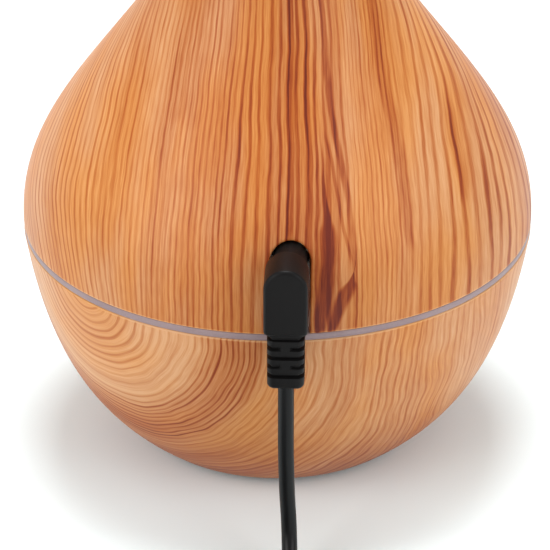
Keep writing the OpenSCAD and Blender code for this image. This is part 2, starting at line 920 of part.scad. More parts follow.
// ---- Switches and buttons ----
module switch_board() {
    color(board_green)
        difference() {
            block(
                [-switch_board_w / 2, switch_board_w / 2],
                [switch_board_y, switch_board_y + board_t], [switch_board_low, switch_board_high]
            );
            for (s = [-1, 1])
                rod_y(s * switch_screw_x, button_z, screw_r, switch_hole_y[0], switch_hole_y[1]);
        }
}
module switch_screws() {
    rear = switch_board_y + board_t;
    color(steel)
        for (s = [-1, 1]) {
            rod_y(s * switch_screw_x, button_z, head_r, rear, rear + head_t);
            rod_y(s * switch_screw_x, button_z, screw_r - play, rear - switch_screw_len, rear);
        }
}
module tact_switch(x) {
    color(black_plastic)
        difference() {
            block(
                [x - switch_w / 2, x + switch_w / 2], [switch_front_y, switch_board_y],
                [button_z - switch_w / 2, button_z + switch_w / 2]
            );
            rod_y(
                x, button_z, plunger_r + 2 * play, switch_front_y - eps,
                switch_front_y + plunger_depth + button_travel
            );
        }
}
module mist_switch() {
    tact_switch(-button_gap / 2);
}
module light_switch() {
    tact_switch(button_gap / 2);
}
module plunger(x) {
    color(white_plastic)
        rod_y(x, button_z, plunger_r, flange_y, switch_front_y + plunger_depth - plunger_gap);
}
module mist_plunger() {
    plunger(-button_gap / 2);
}
module light_plunger() {
    plunger(button_gap / 2);
}
// The cap's face follows the base's outline and stands a little proud of it
module button_cap(x) {
    color(wood)
        union() {
            intersection() {
                rod_y(x, button_z, button_d / 2, button_hole_y[0], flange_y - flange_t);
                rotate_extrude($fn = 96)
                    polygon(concat(
                        [[0, shell_z]], curve(base_curve, -button_proud), [[0, ring_low]]
                    ));
            }
            rod_y(x, button_z, button_d / 2 + button_flange, flange_y - flange_t, flange_y);
        }
}
module mist_button() {
    button_cap(-button_gap / 2);
}
module light_button() {
    button_cap(button_gap / 2);
}

// ---- Wires inside ----
module piezo_wires() {
    color([0.75, 0.15, 0.12])
        wires(piezo_route, wire_d, [1, 0, 0], 2, [-1.8, 0, 0]);
}
module fan_wires() {
    color([0.12, 0.12, 0.12])
        wires(fan_route, wire_d, [1, 0, 0], 2, [2, 0, 0]);
}
module jack_wires() {
    color([0.75, 0.15, 0.12])
        wires(jack_route, jack_wire_d, [1, 0, 0], 2, [2, 0, 0]);
}
module led_wires() {
    color([0.85, 0.85, 0.85])
        wires(led_route, wire_d, [0, 1, 0], 2, [1.6, -1.2, 0]);
}
module switch_wires() {
    color([0.15, 0.20, 0.55])
        wires(switch_route, ribbon_d, [0, 0, 1], 1, [0, 0, 0]);
}

// ---- Cover ----
module top_cover() {
    side = cover_side(wall);
    color(wood)
        difference() {
            rotate_extrude($fn = 96)
                difference() {
                    polygon(concat(
                        [[0, ring_top]], curve(shoulder_curve), without_first(curve(neck_curve)),
                        without_first(curve(lip_curve, 0, 8)), without_first(curve(rim_curve, 0, 4)),
                        [[0, body_h]]
                    ));
                    polygon(concat(
                        [[0, ring_top - eps], [side[0][0], ring_top - eps]], side,
                        [
                            [neck_r - wall, shoulder_stop_z], [mouth_bore_r, shoulder_stop_z],
                            [mouth_bore_r, body_h - mouth_flare], [mouth_bore_r + 1, body_h - 1],
                            [mouth_bore_r + mouth_flare, body_h + eps], [0, body_h + eps]
                        ]
                    ));
                }
            rod_y(jack_x, jack_z, notch_w / 2, notch_y[0], notch_y[1]);
            block(
                [jack_x - notch_w / 2, jack_x + notch_w / 2], notch_y, [ring_top - eps, jack_z]
            );
        }
}
module mist_guide() {
    color(white_plastic)
        rotate_extrude($fn = 96)
            difference() {
                polygon(concat(
                    [[0, guide_low_z], [guide_skirt_r, guide_low_z]], curve(guide_curve),
                    [[guide_tube_r, shoulder_stop_z], [0, shoulder_stop_z]]
                ));
                polygon(concat(
                    [[0, guide_low_z - eps], [guide_skirt_r - guide_wall, guide_low_z - eps]],
                    curve(guide_curve, guide_wall),
                    [
                        [guide_tube_r - guide_wall, shoulder_stop_z + eps],
                        [0, shoulder_stop_z + eps]
                    ]
                ));
            }
}

// ---- Power plug ----
// Side view of the relief: a solid bar with grooves cut in its sides
module relief_grooves() {
    out = [-groove_reach, groove_reach];
    side = relief_w / 2 - groove_depth;
    face = relief_d / 2 - groove_depth;
    for (k = [0 : groove_count - 1]) {
        z = plug_low_z - groove_from - groove_pitch * k;
        for (s = [-1, 1])
            block(s > 0 ? [side, groove_reach] : [-groove_reach, -side], out, [z - groove_h, z]);
        if (k % 2 == 0)
            for (s = [-1, 1])
                block(out, s > 0 ? [face, groove_reach] : [-groove_reach, -face], [z - groove_h, z]);
    }
}
module plug_overmould() {
    color(black_plastic)
        union() {
            difference() {
                rod_y(jack_x, jack_z, nose_r, nose_y, plug_y + plug_lap);
                rod_y(jack_x, jack_z, barrel_d / 2 + play, nose_y - eps, nose_y + barrel_grip);
            }
            translate([plug_x, plug_y + plug_depth, 0])
                rotate([90, 0, 0])
                    linear_extrude(height = plug_depth)
                        union() {
                            translate([0, plug_top_z - plug_w / 2])
                                circle(d = plug_w);
                            translate([-plug_w / 2, plug_low_z])
                                square([plug_w, plug_top_z - plug_w / 2 - plug_low_z]);
                        }
            difference() {
                block(
                    [plug_x - relief_w / 2, plug_x + relief_w / 2],
                    [lead_y - relief_d / 2, lead_y + relief_d / 2],
                    [relief_low_z, plug_low_z + plug_lap]
                );
                translate([plug_x, lead_y, 0])
                    relief_grooves();
            }
        }
}
module plug_barrel() {
    color(nickel)
        difference() {
            rod_y(jack_x, jack_z, barrel_d / 2, nose_y - barrel_len, nose_y + barrel_grip);
            rod_y(jack_x, jack_z, barrel_in_r, nose_y - barrel_len - eps, nose_y + barrel_grip + eps);
        }
}
module plug_insulator() {
    color([0.85, 0.72, 0.20])
        difference() {
            rod_y(
                jack_x, jack_z, barrel_in_r - hair, nose_y - barrel_len + barrel_lip,
                nose_y + barrel_grip
            );
            rod_y(jack_x, jack_z, contact_out_r + hair, nose_y - barrel_len, nose_y + barrel_grip + eps);
        }
}
module plug_contact() {
    color(brass)
        difference() {
            rod_y(
                jack_x, jack_z, contact_out_r, nose_y - barrel_len + contact_back,
                nose_y + barrel_grip
            );
            rod_y(jack_x, jack_z, contact_in_r, nose_y - barrel_len, nose_y + barrel_grip / 2);
        }
}

// ---- Lead ----
module lead_cable() {
    color(black_plastic)
        tube(lead_route, lead_d, [1, 0, 0]);
}
module lead_tail() {
    color(black_plastic)
        tube(tail_route, lead_d, [0, 0, 1]);
}
// Section of the coil, three turns wide and three high, grown by g
module coil_section(g) {
    r_in = coil_mid_d / 2 - turn_pitch - lead_d / 2 - g;
    width = 2 * turn_pitch + lead_d + 2 * g;
    translate([r_in, coil_low - g])
        square([width, width]);
}
module lead_coil() {
    color(black_plastic)
        translate([coil_x, coil_y, 0])
            rotate_extrude()
                coil_section(0);
}
module lead_tie() {
    color(black_plastic)
        translate([coil_x, coil_y, 0])
            rotate([0, 0, tie_angle])
                rotate_extrude(angle = tie_arc)
                    difference() {
                        coil_section(tie_t);
                        coil_section(play);
                    }
}
module usb_overmould() {
    color(black_plastic)
        difference() {
            union() {
                block(
                    [usb_body_x, usb_body_x + usb_body_len],
                    [usb_y - usb_body_w / 2, usb_y + usb_body_w / 2],
                    [usb_z - usb_body_t / 2, usb_z + usb_body_t / 2]
                );
                translate([usb_relief_x, usb_y, usb_z])
                    rotate([0, 90, 0])
                        cylinder(
                            r1 = usb_relief_r[0], r2 = usb_relief_r[1],
                            h = usb_body_x - usb_relief_x + lap
                        );
            }
            block(
                [usb_body_x + usb_body_len - usb_sunk, usb_body_x + usb_body_len + eps],
                [usb_y - usb_shell_w / 2 - play, usb_y + usb_shell_w / 2 + play],
                [usb_z - usb_shell_t / 2 - play, usb_z + usb_shell_t / 2 + play]
            );
        }
}
module usb_shell() {
    front_x = usb_body_x + usb_body_len;
    half_w = usb_shell_w / 2;
    half_t = usb_shell_t / 2;
    color(steel)
        difference() {
            block(
                [front_x - usb_sunk, front_x + usb_shell_len], [usb_y - half_w, usb_y + half_w],
                [usb_z - half_t, usb_z + half_t]
            );
            block(
                [front_x - usb_hollow_back, front_x + usb_shell_len + eps],
                [usb_y - half_w + usb_skin, usb_y + half_w - usb_skin],
                [usb_z - half_t + usb_skin, usb_z + half_t - usb_skin]
            );
            for (s = [-1, 1])
                block(
                    [front_x + usb_window_x[0], front_x + usb_window_x[1]],
                    [
                        usb_y + usb_window_mid * s - usb_window_half,
                        usb_y + usb_window_mid * s + usb_window_half
                    ],
                    [usb_z - half_t - eps, usb_z + half_t + eps]
                );
        }
}
module usb_tongue() {
    front_x = usb_body_x + usb_body_len;
    half_w = usb_shell_w / 2 - usb_skin;
    color([0.92, 0.92, 0.90])
        block(
            [front_x - usb_hollow_back, front_x + usb_shell_len - usb_tongue_back],
            [usb_y - half_w, usb_y + half_w],
            [usb_z - usb_shell_t / 2 + usb_skin, usb_z - usb_contact_t]
        );
}
module usb_contacts() {
    front_x = usb_body_x + usb_body_len;
    color(brass)
        for (k = [-1.5 : 1 : 1.5])
            block(
                [front_x + usb_contact_x[0], front_x + usb_shell_len - usb_contact_x[1]],
                [
                    usb_y + usb_contact_pitch * k - usb_contact_half,
                    usb_y + usb_contact_pitch * k + usb_contact_half
                ],
                [usb_z - usb_contact_t, usb_z + usb_contact_t]
            );
}

base_shell();
bottom_cover();
rubber_feet();
bottom_screws();
light_ring();
deck_seal();
tank();
deck();
air_duct();
piezo_disc();
piezo_seal();
piezo_clamp();
piezo_screws();
main_board();
board_screws();
drive_coil();
capacitors();
power_transistor();
heat_sink();
control_chip();
board_connectors();
led_board();
leds();
fan_frame();
fan_stator();
fan_screws();
fan_rotor();
fan_shaft();
fan_magnet();
dc_jack();
jack_pin();
switch_board();
switch_screws();
mist_switch();
light_switch();
mist_button();
mist_plunger();
light_button();
light_plunger();
piezo_wires();
fan_wires();
jack_wires();
led_wires();
switch_wires();
top_cover();
mist_guide();
plug_overmould();
plug_barrel();
plug_insulator();
plug_contact();
lead_cable();
lead_coil();
lead_tail();
lead_tie();
usb_overmould();
usb_shell();
usb_tongue();
usb_contacts();
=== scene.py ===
"""Essential oil diffuser: the visual model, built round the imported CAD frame.

+Z is up, the buttons face -Y and the power lead plugs in at the back, +Y. The camera looks at
the back. Shapes are worked out in millimetres and become metres when a mesh is made."""
import functools
import json
import math

import bmesh
import bpy
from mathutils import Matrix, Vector

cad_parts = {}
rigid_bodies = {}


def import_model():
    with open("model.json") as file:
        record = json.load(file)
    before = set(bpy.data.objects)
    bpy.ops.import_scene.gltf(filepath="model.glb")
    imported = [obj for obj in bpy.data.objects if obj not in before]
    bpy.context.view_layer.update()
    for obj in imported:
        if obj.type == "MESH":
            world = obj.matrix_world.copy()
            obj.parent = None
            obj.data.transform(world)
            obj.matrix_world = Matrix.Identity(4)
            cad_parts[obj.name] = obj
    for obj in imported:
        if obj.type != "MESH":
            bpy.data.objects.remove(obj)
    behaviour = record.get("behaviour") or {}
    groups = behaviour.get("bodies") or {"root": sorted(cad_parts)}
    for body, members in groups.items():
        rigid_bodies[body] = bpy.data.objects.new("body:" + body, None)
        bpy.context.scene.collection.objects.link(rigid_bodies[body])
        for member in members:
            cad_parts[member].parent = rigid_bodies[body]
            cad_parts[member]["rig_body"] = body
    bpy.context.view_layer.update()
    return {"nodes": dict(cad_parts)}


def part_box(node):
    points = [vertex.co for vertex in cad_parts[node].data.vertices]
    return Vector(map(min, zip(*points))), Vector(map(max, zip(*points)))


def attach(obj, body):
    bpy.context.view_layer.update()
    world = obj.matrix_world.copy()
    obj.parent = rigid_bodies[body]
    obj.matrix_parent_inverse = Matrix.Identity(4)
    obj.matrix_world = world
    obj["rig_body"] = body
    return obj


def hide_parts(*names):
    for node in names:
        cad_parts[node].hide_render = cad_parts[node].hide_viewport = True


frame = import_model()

MM = 0.001


def node_mm(node):
    """A CAD node's lowest and highest corners, in millimetres."""
    low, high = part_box(node)
    return [c / MM for c in low], [c / MM for c in high]


# ---- sizes, in millimetres
body_r = node_mm("light_ring")[1][0]
ring_low = node_mm("base_shell")[1][2]
ring_top = node_mm("top_cover")[0][2]
ring_z = (ring_low + ring_top) / 2
body_h = node_mm("top_cover")[1][2]
wall = 2.0
foot_r = 29.7
shell_z = node_mm("base_shell")[0][2]
neck_r = 13.5
mouth_r = 15.2
mouth_bore_r = 10.2
edge_round = 0.3
waist = (32.4, ring_z + 38.7)
neck_top = (neck_r, ring_z + 82)

base_curve = [
    (foot_r, shell_z), (foot_r + 9, shell_z + 7.4), (body_r - 3.5, ring_z - 28.8),
    (body_r, ring_low),
]
shoulder_curve = [
    (body_r, ring_top), (body_r + 0.2, ring_z + 14.2), (body_r - 6.8, ring_z + 23.2), waist,
]
neck_curve = [waist, (17.5, ring_z + 57.5), (neck_r, ring_z + 63), neck_top]
lip_curve = [neck_top, (neck_r, ring_z + 88), (mouth_r - 0.8, body_h - 3), (mouth_r, body_h - 1)]

# Power plug, inlet and lead
jack_x = -4.4
plug_x = -4.0
jack_z = ring_z + 14.3
notch_w = 7.6
plug_low, plug_high = node_mm("plug_overmould")
plug_w = 8.0
plug_depth = 8.0
plug_front_y = plug_high[1]
plug_back_y = plug_front_y - plug_depth
plug_body_low = ring_z + 5.6
nose_r = 3.15
relief_w = 6.9
relief_d = 6.6
relief_low = plug_low[2]
groove_pitch = 1.92
groove_h = 0.9
groove_depth = 0.7
lead_d = 3.0
lead_y = (plug_front_y + plug_back_y) / 2

# Buttons
button_r = 4.0
button_x = 8.0
button_z = 34.0
button_proud = 0.5
button_play = 0.25
flange_back_y = node_mm("mist_button")[1][1]

# Route of the lead from the plug to the coil, and from the coil to the USB plug
lead_route = [
    (-4, 56.6, 41.4), (-4, 56.6, 38), (-4, 56.6, 33), (-4, 56.6, 28), (-4.1, 56.6, 22),
    (-4.3, 56.7, 16), (-4.6, 57.2, 11), (-4.8, 58.6, 7), (-5, 61.4, 3.9), (-5.2, 65.2, 2.1),
    (-5.4, 70, 1.6), (-5.4, 76, 1.6), (-5.4, 82, 1.7), (-5.4, 88, 1.9),
]
tail_route = [
    (21, 116, 8.1), (24, 116, 7.6), (27, 116, 6.4), (30, 116, 4.9), (33, 116, 4),
]
coil_x = 15.6
coil_y = 95.0
coil_r = 18.0
turn_pitch = 3.05
coil_low = 0.6 + lead_d / 2
tie_angle = 306

# USB plug
usb_y = 116.0
usb_z = 4.0
usb_relief_x = 33.0
usb_body_x = 38.0
usb_len = 19.0
usb_w = 15.6
usb_t = 8.0


# ---- objects and camera
def add_object(name, data):
    obj = bpy.data.objects.new(name, data)
    bpy.context.scene.collection.objects.link(obj)
    return obj


def look_at(name, data, target, azimuth, elevation, distance):
    """Adds a camera or lamp that faces the target. Azimuth 0 is the front; angles in degrees."""
    a, e = math.radians(azimuth), math.radians(elevation)
    thing = add_object(name, data)
    thing.location = target + distance * Vector((
        math.sin(a) * math.cos(e), -math.cos(a) * math.cos(e), math.sin(e),
    ))
    direction = target - thing.location
    thing.rotation_euler = direction.to_track_quat("-Z", "Y").to_euler()
    return thing


def add_camera():
    data = bpy.data.cameras.new("camera")
    data.lens = 151.5
    data.sensor_width = 36
    data.clip_start, data.clip_end = 0.01, 20
    target = Vector((0.0005, 0, (ring_z - 15.26) * MM))
    bpy.context.scene.camera = look_at("camera", data, target, 182.5, 29.05, distance=0.480)


add_camera()


# ---- shape helpers
def bezier(points, count):
    """count + 1 points along a cubic curve."""
    a, b, c, d = [Vector(p) for p in points]
    steps = [i / count for i in range(count + 1)]
    return [
        a * (1 - t) ** 3 + b * 3 * t * (1 - t) ** 2 + c * 3 * t * t * (1 - t) + d * t ** 3
        for t in steps
    ]


def inner_wall(line):
    """An (r, z) line moved in by the wall's thickness, along its own normal."""
    out = []
    for i, p in enumerate(line):
        along = (line[min(i + 1, len(line) - 1)] - line[max(i - 1, 0)]).normalized()
        out.append(Vector((p.x - wall * along.y, p.y + wall * along.x)))
    return out


def arc(centre, radius, start, end, count=4):
    """Points on a round corner, angles in degrees."""
    turns = [math.radians(start + (end - start) * i / count) for i in range(count + 1)]
    return [Vector((centre[0] + radius * math.cos(t), centre[1] + radius * math.sin(t))) for t in turns]


def smooth(x, low, high):
    """0 below low, 1 above high and a smooth step between."""
    t = min(max((x - low) / (high - low), 0), 1)
    return t * t * (3 - 2 * t)


def circle(radius, sides):
    turns = [2 * math.pi * k / sides for k in range(sides)]
    return [(radius * math.cos(t), radius * math.sin(t)) for t in turns]


def quarter_round(radius, count):
    """Points on a rounded edge as distances from its two sides, from (0, radius) to (radius, 0)."""
    turns = [math.radians(90 * k / count) for k in range(count + 1)]
    return [(radius * (1 - math.cos(t)), radius * (1 - math.sin(t))) for t in turns]


def rounded_rectangle(half_w, half_h, corner):
    w, h = half_w - corner, half_h - corner
    centres = enumerate([(w, h), (-w, h), (-w, -h), (w, -h)])
    return [p for k, centre in centres for p in arc(centre, corner, 90 * k, 90 * k + 90, 6)]


def grid_faces(rows, columns, closed=False):
    """Faces between rows of vertices, each row a loop. closed joins the last row to the first."""
    faces = []
    for i in range(rows if closed else rows - 1):
        a, b = i * columns, (i + 1) % rows * columns
        faces += [(a + k, a + (k + 1) % columns, b + (k + 1) % columns, b + k) for k in range(columns)]
    return faces


def ring_solid(loops):
    """A closed solid through loops of equal length, where the last joins the first."""
    return [p for loop in loops for p in loop], grid_faces(len(loops), len(loops[0]), True)


def revolved(profile):
    """A closed (r, z) profile turned round the Z axis."""
    return ring_solid([[(a, b, z) for a, b in circle(r, 192)] for r, z in profile])


def lofted(loops):
    """A closed solid through loops of equal length, with a flat cap at each end."""
    count = len(loops[0])
    verts = [p for loop in loops for p in loop]
    faces = grid_faces(len(loops), count)
    last = (len(loops) - 1) * count
    faces.append(tuple(reversed(range(count))))
    faces.append(tuple(range(last, last + count)))
    return verts, faces


def joined(*solids):
    """Several solids as one list of vertices and one of faces."""
    verts, faces = [], []
    for solid_verts, solid_faces in solids:
        shift = len(verts)
        verts.extend(solid_verts)
        faces.extend(tuple(i + shift for i in f) for f in solid_faces)
    return verts, faces


def mesh_object(name, solid, angle=30):
    """An object from vertices in millimetres, shaded smooth with sharp edges above an angle."""
    verts, faces = solid
    mesh = bpy.data.meshes.new(name)
    mesh.from_pydata([[c * MM for c in v] for v in verts], [], faces)
    work = bmesh.new()
    work.from_mesh(mesh)
    bmesh.ops.recalc_face_normals(work, faces=work.faces)
    work.to_mesh(mesh)
    work.free()
    obj = add_object(name, mesh)
    shade(obj, angle)
    return obj


def shade(obj, angle):
    obj.data.shade_smooth()
    obj.data.set_sharp_from_angle(angle=math.radians(angle))


def boolean(obj, tool, operation="DIFFERENCE", angle=30):
    """Cuts tool out of obj, or joins it on, and removes the tool."""
    step = obj.modifiers.new("cut", "BOOLEAN")
    step.operation = operation
    step.solver = "EXACT"
    step.object = tool
    graph = bpy.context.evaluated_depsgraph_get()
    mesh = bpy.data.meshes.new_from_object(obj.evaluated_get(graph))
    obj.modifiers.clear()
    old = obj.data
    mesh.name = old.name + "_cut"
    obj.data = mesh
    bpy.data.meshes.remove(old)
    bpy.data.objects.remove(tool)
    shade(obj, angle)


def finish_piece(obj, body, slot, nodes, materials=()):
    """Attaches a piece to its body, gives it its materials and hides the CAD nodes that it stands for.

    With no materials given it takes its slot's own."""
    for material in materials or [MATERIALS[slot]]:
        obj.data.materials.append(material)
    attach(obj, body)
    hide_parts(*nodes)
    return obj


# ---- material helpers
class Graph:
    """One material's node tree, with short calls for the nodes that it needs."""

    def __init__(self, name):
        self.material = bpy.data.materials.new(name)
        self.material.use_nodes = True
        self.tree = self.material.node_tree
        self.shader = self.tree.nodes["Principled BSDF"]
        self.scaled = None

    def node(self, kind, **inputs):
        made = self.tree.nodes.new("ShaderNode" + kind)
        for key, value in inputs.items():
            self.put(made.inputs[key.replace("_", " ")], value)
        return made

    def put(self, socket, value):
        if isinstance(value, bpy.types.NodeSocket):
            self.tree.links.new(value, socket)
        else:
            socket.default_value = value

    def math(self, operation, a, b=0.0, clamp=False):
        made = self.node("Math")
        made.operation = operation
        made.use_clamp = clamp
        self.put(made.inputs[0], a)
        self.put(made.inputs[1], b)
        return made.outputs[0]

    def add(self, *terms):
        return functools.reduce(lambda a, b: self.math("ADD", a, b), terms)

    def times(self, *terms):
        return functools.reduce(lambda a, b: self.math("MULTIPLY", a, b), terms)

    def minus(self, a, b, clamp=False):
        return self.math("SUBTRACT", a, b, clamp)

    def over(self, a, b):
        return self.math("DIVIDE", a, b)

    def position(self):
        """Object coordinates in millimetres, as a vector."""
        if self.scaled is None:
            scale = self.node("VectorMath")
            scale.operation = "SCALE"
            self.put(scale.inputs[0], self.node("TexCoord").outputs["Object"])
            self.put(scale.inputs["Scale"], 1 / MM)
            self.scaled = scale.outputs[0]
        return self.scaled

    def axes(self):
        return self.node("SeparateXYZ", Vector=self.position()).outputs

    def radius(self):
        """Distance from the object's axis."""
        x, y, _ = self.axes()
        return self.math("SQRT", self.add(self.times(x, x), self.times(y, y)))

    def vector(self, x=0.0, y=0.0, z=0.0):
        return self.node("CombineXYZ", X=x, Y=y, Z=z).outputs[0]

    def noise(self, vector, scale=1.0, detail=2.0, dimensions="3D"):
        made = self.node("TexNoise", Vector=vector, Scale=scale, Detail=detail)
        made.noise_dimensions = dimensions
        return made.outputs["Fac"]

    def streaks(self, across, along, across_size, along_size, detail=1.0):
        """Noise in long streaks: across_size wide and along_size long, from 0 to 1."""
        vector = self.vector(self.over(across, across_size), self.over(along, along_size))
        return self.noise(vector, 1.0, detail, "2D")

    def step(self, value, low, high, start=0.0, end=1.0):
        """A smooth step from start to end as value goes from low to high."""
        made = self.node(
            "MapRange", Value=value, From_Min=low, From_Max=high, To_Min=start, To_Max=end
        )
        made.interpolation_type = "SMOOTHSTEP"
        return made.outputs[0]

    def curve(self, value, points, smooth_line=True):
        """A value read off a line through points, held level past its ends."""
        xs, ys = zip(*points)
        x_low, x_high, y_low = min(xs), max(xs), min(ys)
        y_span = (max(ys) - y_low) or 1.0
        made = self.node("FloatCurve")
        mapping = made.mapping
        line = mapping.curves[0]
        for i, (x, y) in enumerate(sorted(points)):
            place = ((x - x_low) / (x_high - x_low), (y - y_low) / y_span)
            if i < 2:
                line.points[i].location = place
            else:
                line.points.new(*place)
        for point in line.points:
            point.handle_type = "AUTO_CLAMPED" if smooth_line else "VECTOR"
        mapping.update()
        unit = self.math("DIVIDE", self.minus(value, x_low), x_high - x_low, clamp=True)
        self.put(made.inputs["Value"], unit)
        return self.add(self.times(made.outputs[0], y_span), y_low)

    def ramp(self, value, stops):
        """Colours along a value; each stop is (place, (red, green, blue)) in sRGB from 0 to 255."""
        made = self.node("ValToRGB", Fac=value)
        elements = made.color_ramp.elements
        for i, (place, colour) in enumerate(stops):
            element = elements[i] if i < 2 else elements.new(place)
            element.position = place
            element.color = linear(colour)
        return made.outputs[0]

    def mix(self, fraction, a, b):
        made = self.node("Mix")
        made.data_type = "RGBA"
        # 6 and 7 are its colour inputs, 2 its colour output
        for index, value in ((0, fraction), (6, a), (7, b)):
            self.put(made.inputs[index], value)
        return made.outputs[2]

    def bump(self, height, strength, distance=0.0001):
        made = self.node("Bump", Strength=strength, Distance=distance, Height=height)
        self.put(self.shader.inputs["Normal"], made.outputs[0])

    def shader_values(self, **values):
        for key, value in values.items():
            self.put(self.shader.inputs[key.replace("_", " ")], value)


def linear(colour):
    """An sRGB colour from 0 to 255 as linear RGBA."""
    channels = [c / 255 for c in colour]
    return [c / 12.92 if c <= 0.04045 else ((c + 0.055) / 1.055) ** 2.4 for c in channels] + [1.0]


def plastic(name, colour, roughness, speck, bump, tint=0.06, level=0.5):
    """Moulded plastic or rubber: fine moulded texture, faint cloudiness, and handling marks."""
    g = Graph(name)
    cloud = g.noise(g.position(), 0.09, 3)
    fine = g.noise(g.position(), 1 / speck, 2)
    shade_amount = g.add(g.times(g.minus(cloud, 0.5), 2.0), g.minus(fine, 0.5))
    dark = [c * (1 - tint) for c in colour]
    light = [min(255, c * (1 + tint)) for c in colour]
    g.shader_values(
        Base_Color=g.ramp(g.add(g.times(shade_amount, 0.5), 0.5), [(0.0, dark), (1.0, light)]),
        Roughness=g.add(g.times(cloud, 0.16), g.times(fine, 0.06), roughness - 0.11),
        Specular_IOR_Level=level,
    )
    g.bump(fine, bump)
    return g.material


def metal(name, colour, roughness, brushed=(1.0, 1.0, 12.0)):
    """Plated or brushed metal with fine streaks."""
    g = Graph(name)
    streak = g.noise(g.vector(*[g.times(a, b) for a, b in zip(g.axes(), brushed)]), 1.0, 3)
    cloud = g.noise(g.position(), 0.3, 3)
    dark = [c * 0.86 for c in colour]
    blend = g.add(g.times(streak, 0.6), g.times(cloud, 0.4))
    g.shader_values(
        Base_Color=g.ramp(blend, [(0.25, dark), (0.7, colour)]),
        Roughness=g.add(g.times(streak, 0.14), g.times(cloud, 0.1), roughness - 0.12),
        Metallic=1.0,
    )
    g.bump(streak, 0.05)
    return g.material


# ---- wood print
WOOD = [
    (0.0, (205, 145, 88)), (0.2, (194, 128, 67)), (0.42, (178, 106, 47)), (0.62, (160, 80, 25)),
    (0.8, (136, 54, 9)), (1.0, (98, 28, 5)),
]
WOOD_ROSE = [
    (0.0, (203, 153, 109)), (0.2, (192, 135, 88)), (0.42, (177, 111, 63)), (0.62, (158, 83, 36)),
    (0.8, (134, 54, 16)), (1.0, (98, 29, 9)),
]


def grain_lines(g, across, along, phase, contrast, tone):
    """Darkness of the print: growth lines one per unit of phase, fibres and broad bands."""
    def centred(across_size, along_size, detail=1.0):
        return g.minus(g.streaks(across, along, across_size, along_size, detail), 0.5)

    drift, jitter = centred(9, 60), centred(1.9, 26)
    wander = g.add(phase, g.times(drift, 1.3), g.times(jitter, 0.24))
    turn = g.times(wander, 2 * math.pi)
    lean_wave = g.math("COSINE", g.add(turn, g.times(g.math("SINE", turn), 0.5)))
    line = g.step(lean_wave, -0.8, 0.95)
    random_line = g.node("TexWhiteNoise")
    random_line.noise_dimensions = "1D"
    g.put(random_line.inputs["W"], g.math("ROUND", wander))
    strength = g.add(g.times(random_line.outputs["Value"], 0.5), 0.6)
    fade = g.step(g.streaks(across, along, 1.4, 22), 0.2, 0.7, 0.6, 1.15)
    lines = g.times(line, strength, fade, contrast)
    fibre, fine = centred(0.4, 9, 2), centred(0.13, 3)
    band, cloud = centred(4.2, 75, 2), centred(13, 40)
    dark = g.add(
        tone, g.times(lines, 0.54), g.times(fibre, 0.38), g.times(fine, 0.28), g.times(band, 0.32),
        g.times(cloud, 0.22),
    )
    return dark, lines, fibre


# Streaks beside the plug: path, half width and strength. The places along the first two are
# heights above the ring, and a path's second value is its place across the grain.
BACK_STREAKS = [
    ([(0, -16.6), (10, -16.5), (20, -16.1), (28, -14.7), (38, -13.3), (52, -12.2), (95, -12)],
     [(0, 0.5), (52, 0.8), (95, 0.6)], 0.3),
    ([(18, -4.5), (40, -4.6), (95, -4.7)], [(18, 0.75), (95, 0.6)], 0.3),
    ([(0, -8.2), (40, -8.4), (95, -8)], [(0, 0.6), (95, 0.5)], 0.3),
    ([(0, -10), (5, -10.7), (12, -11.5), (17, -11.7), (25, -10.9), (33, -10.7)],
     [(0, 1.0), (5, 1.4), (12, 1.7), (17, 1.7), (21, 0.9), (26, 0.4), (33, 0.25)], 0.5),
    ([(0, -12.2), (5, -13.5), (8, -14.7), (11, -16), (16, -17)],
     [(0, 0.8), (5, 1.4), (8, 1.6), (10.5, 0.6), (12, 0.05)], 0.5),
    ([(14, -15.8), (24, -13.6), (34, -11.8)], [(14, 0.35), (34, 0.4)], 0.26),
    ([(14, -26.9), (30, -26), (44, -24.4), (95, -23.5)], [(14, 0.9), (40, 1.3), (95, 1.3)], 0.2),
    ([(18, -38), (36, -37)], [(18, 0.8), (27, 1.4), (36, 0.9)], 0.22),
    ([(20, 31), (44, 31.6)], [(20, 0.5), (44, 0.8)], 0.16),
    ([(34, 18), (95, 17)], [(34, 4), (95, 4)], 0.1),
]


def streak(g, across, height, path, width, strength):
    """A dark streak. path gives its place across by height, and width its half width by height."""
    low, high = path[0][0], path[-1][0]
    centre = g.curve(height, path)
    half = g.curve(height, width)
    away = g.over(g.math("ABSOLUTE", g.minus(across, centre)), half)
    inside = g.step(away, 0.45, 1.25, 1.0, 0.0)
    ends = g.times(g.step(height, low - 1.5, low + 2), g.step(height, high - 6, high + 3, 1.0, 0.0))
    return g.times(inside, ends, strength)


def extended_sine(g, angle):
    """The sine of an angle up to 60 degrees, then a straight line that keeps rising."""
    limit = math.radians(60)
    held = g.math("MINIMUM", g.math("MAXIMUM", angle, -limit), limit)
    return g.add(g.math("SINE", held), g.times(g.minus(angle, held), 0.5))


def wood_shader(g, dark, lines, fibre, edge_z, edge_side, rose):
    """Colour, gloss and grooves of the print, with a painted highlight: a thin lighter band along its edge
    at height edge_z.
    """
    height = g.axes()[2]
    # painted highlight: the print is made lighter in a thin band along the edge at edge_z
    edge_highlight = g.step(g.times(g.minus(height, edge_z), edge_side), 0.02, 0.5, 0.45, 0.0)
    dark = g.minus(dark, edge_highlight, clamp=True)
    g.shader_values(
        Base_Color=g.mix(rose, g.ramp(dark, WOOD), g.ramp(dark, WOOD_ROSE)),
        Roughness=g.add(g.times(fibre, 0.12), g.times(dark, 0.08), 0.4),
        Specular_IOR_Level=0.22,
        Coat_Weight=0.06,
        Coat_Roughness=0.3,
    )
    g.bump(g.add(g.times(lines, -0.5), g.times(fibre, 0.5)), 0.12)
    return g.material


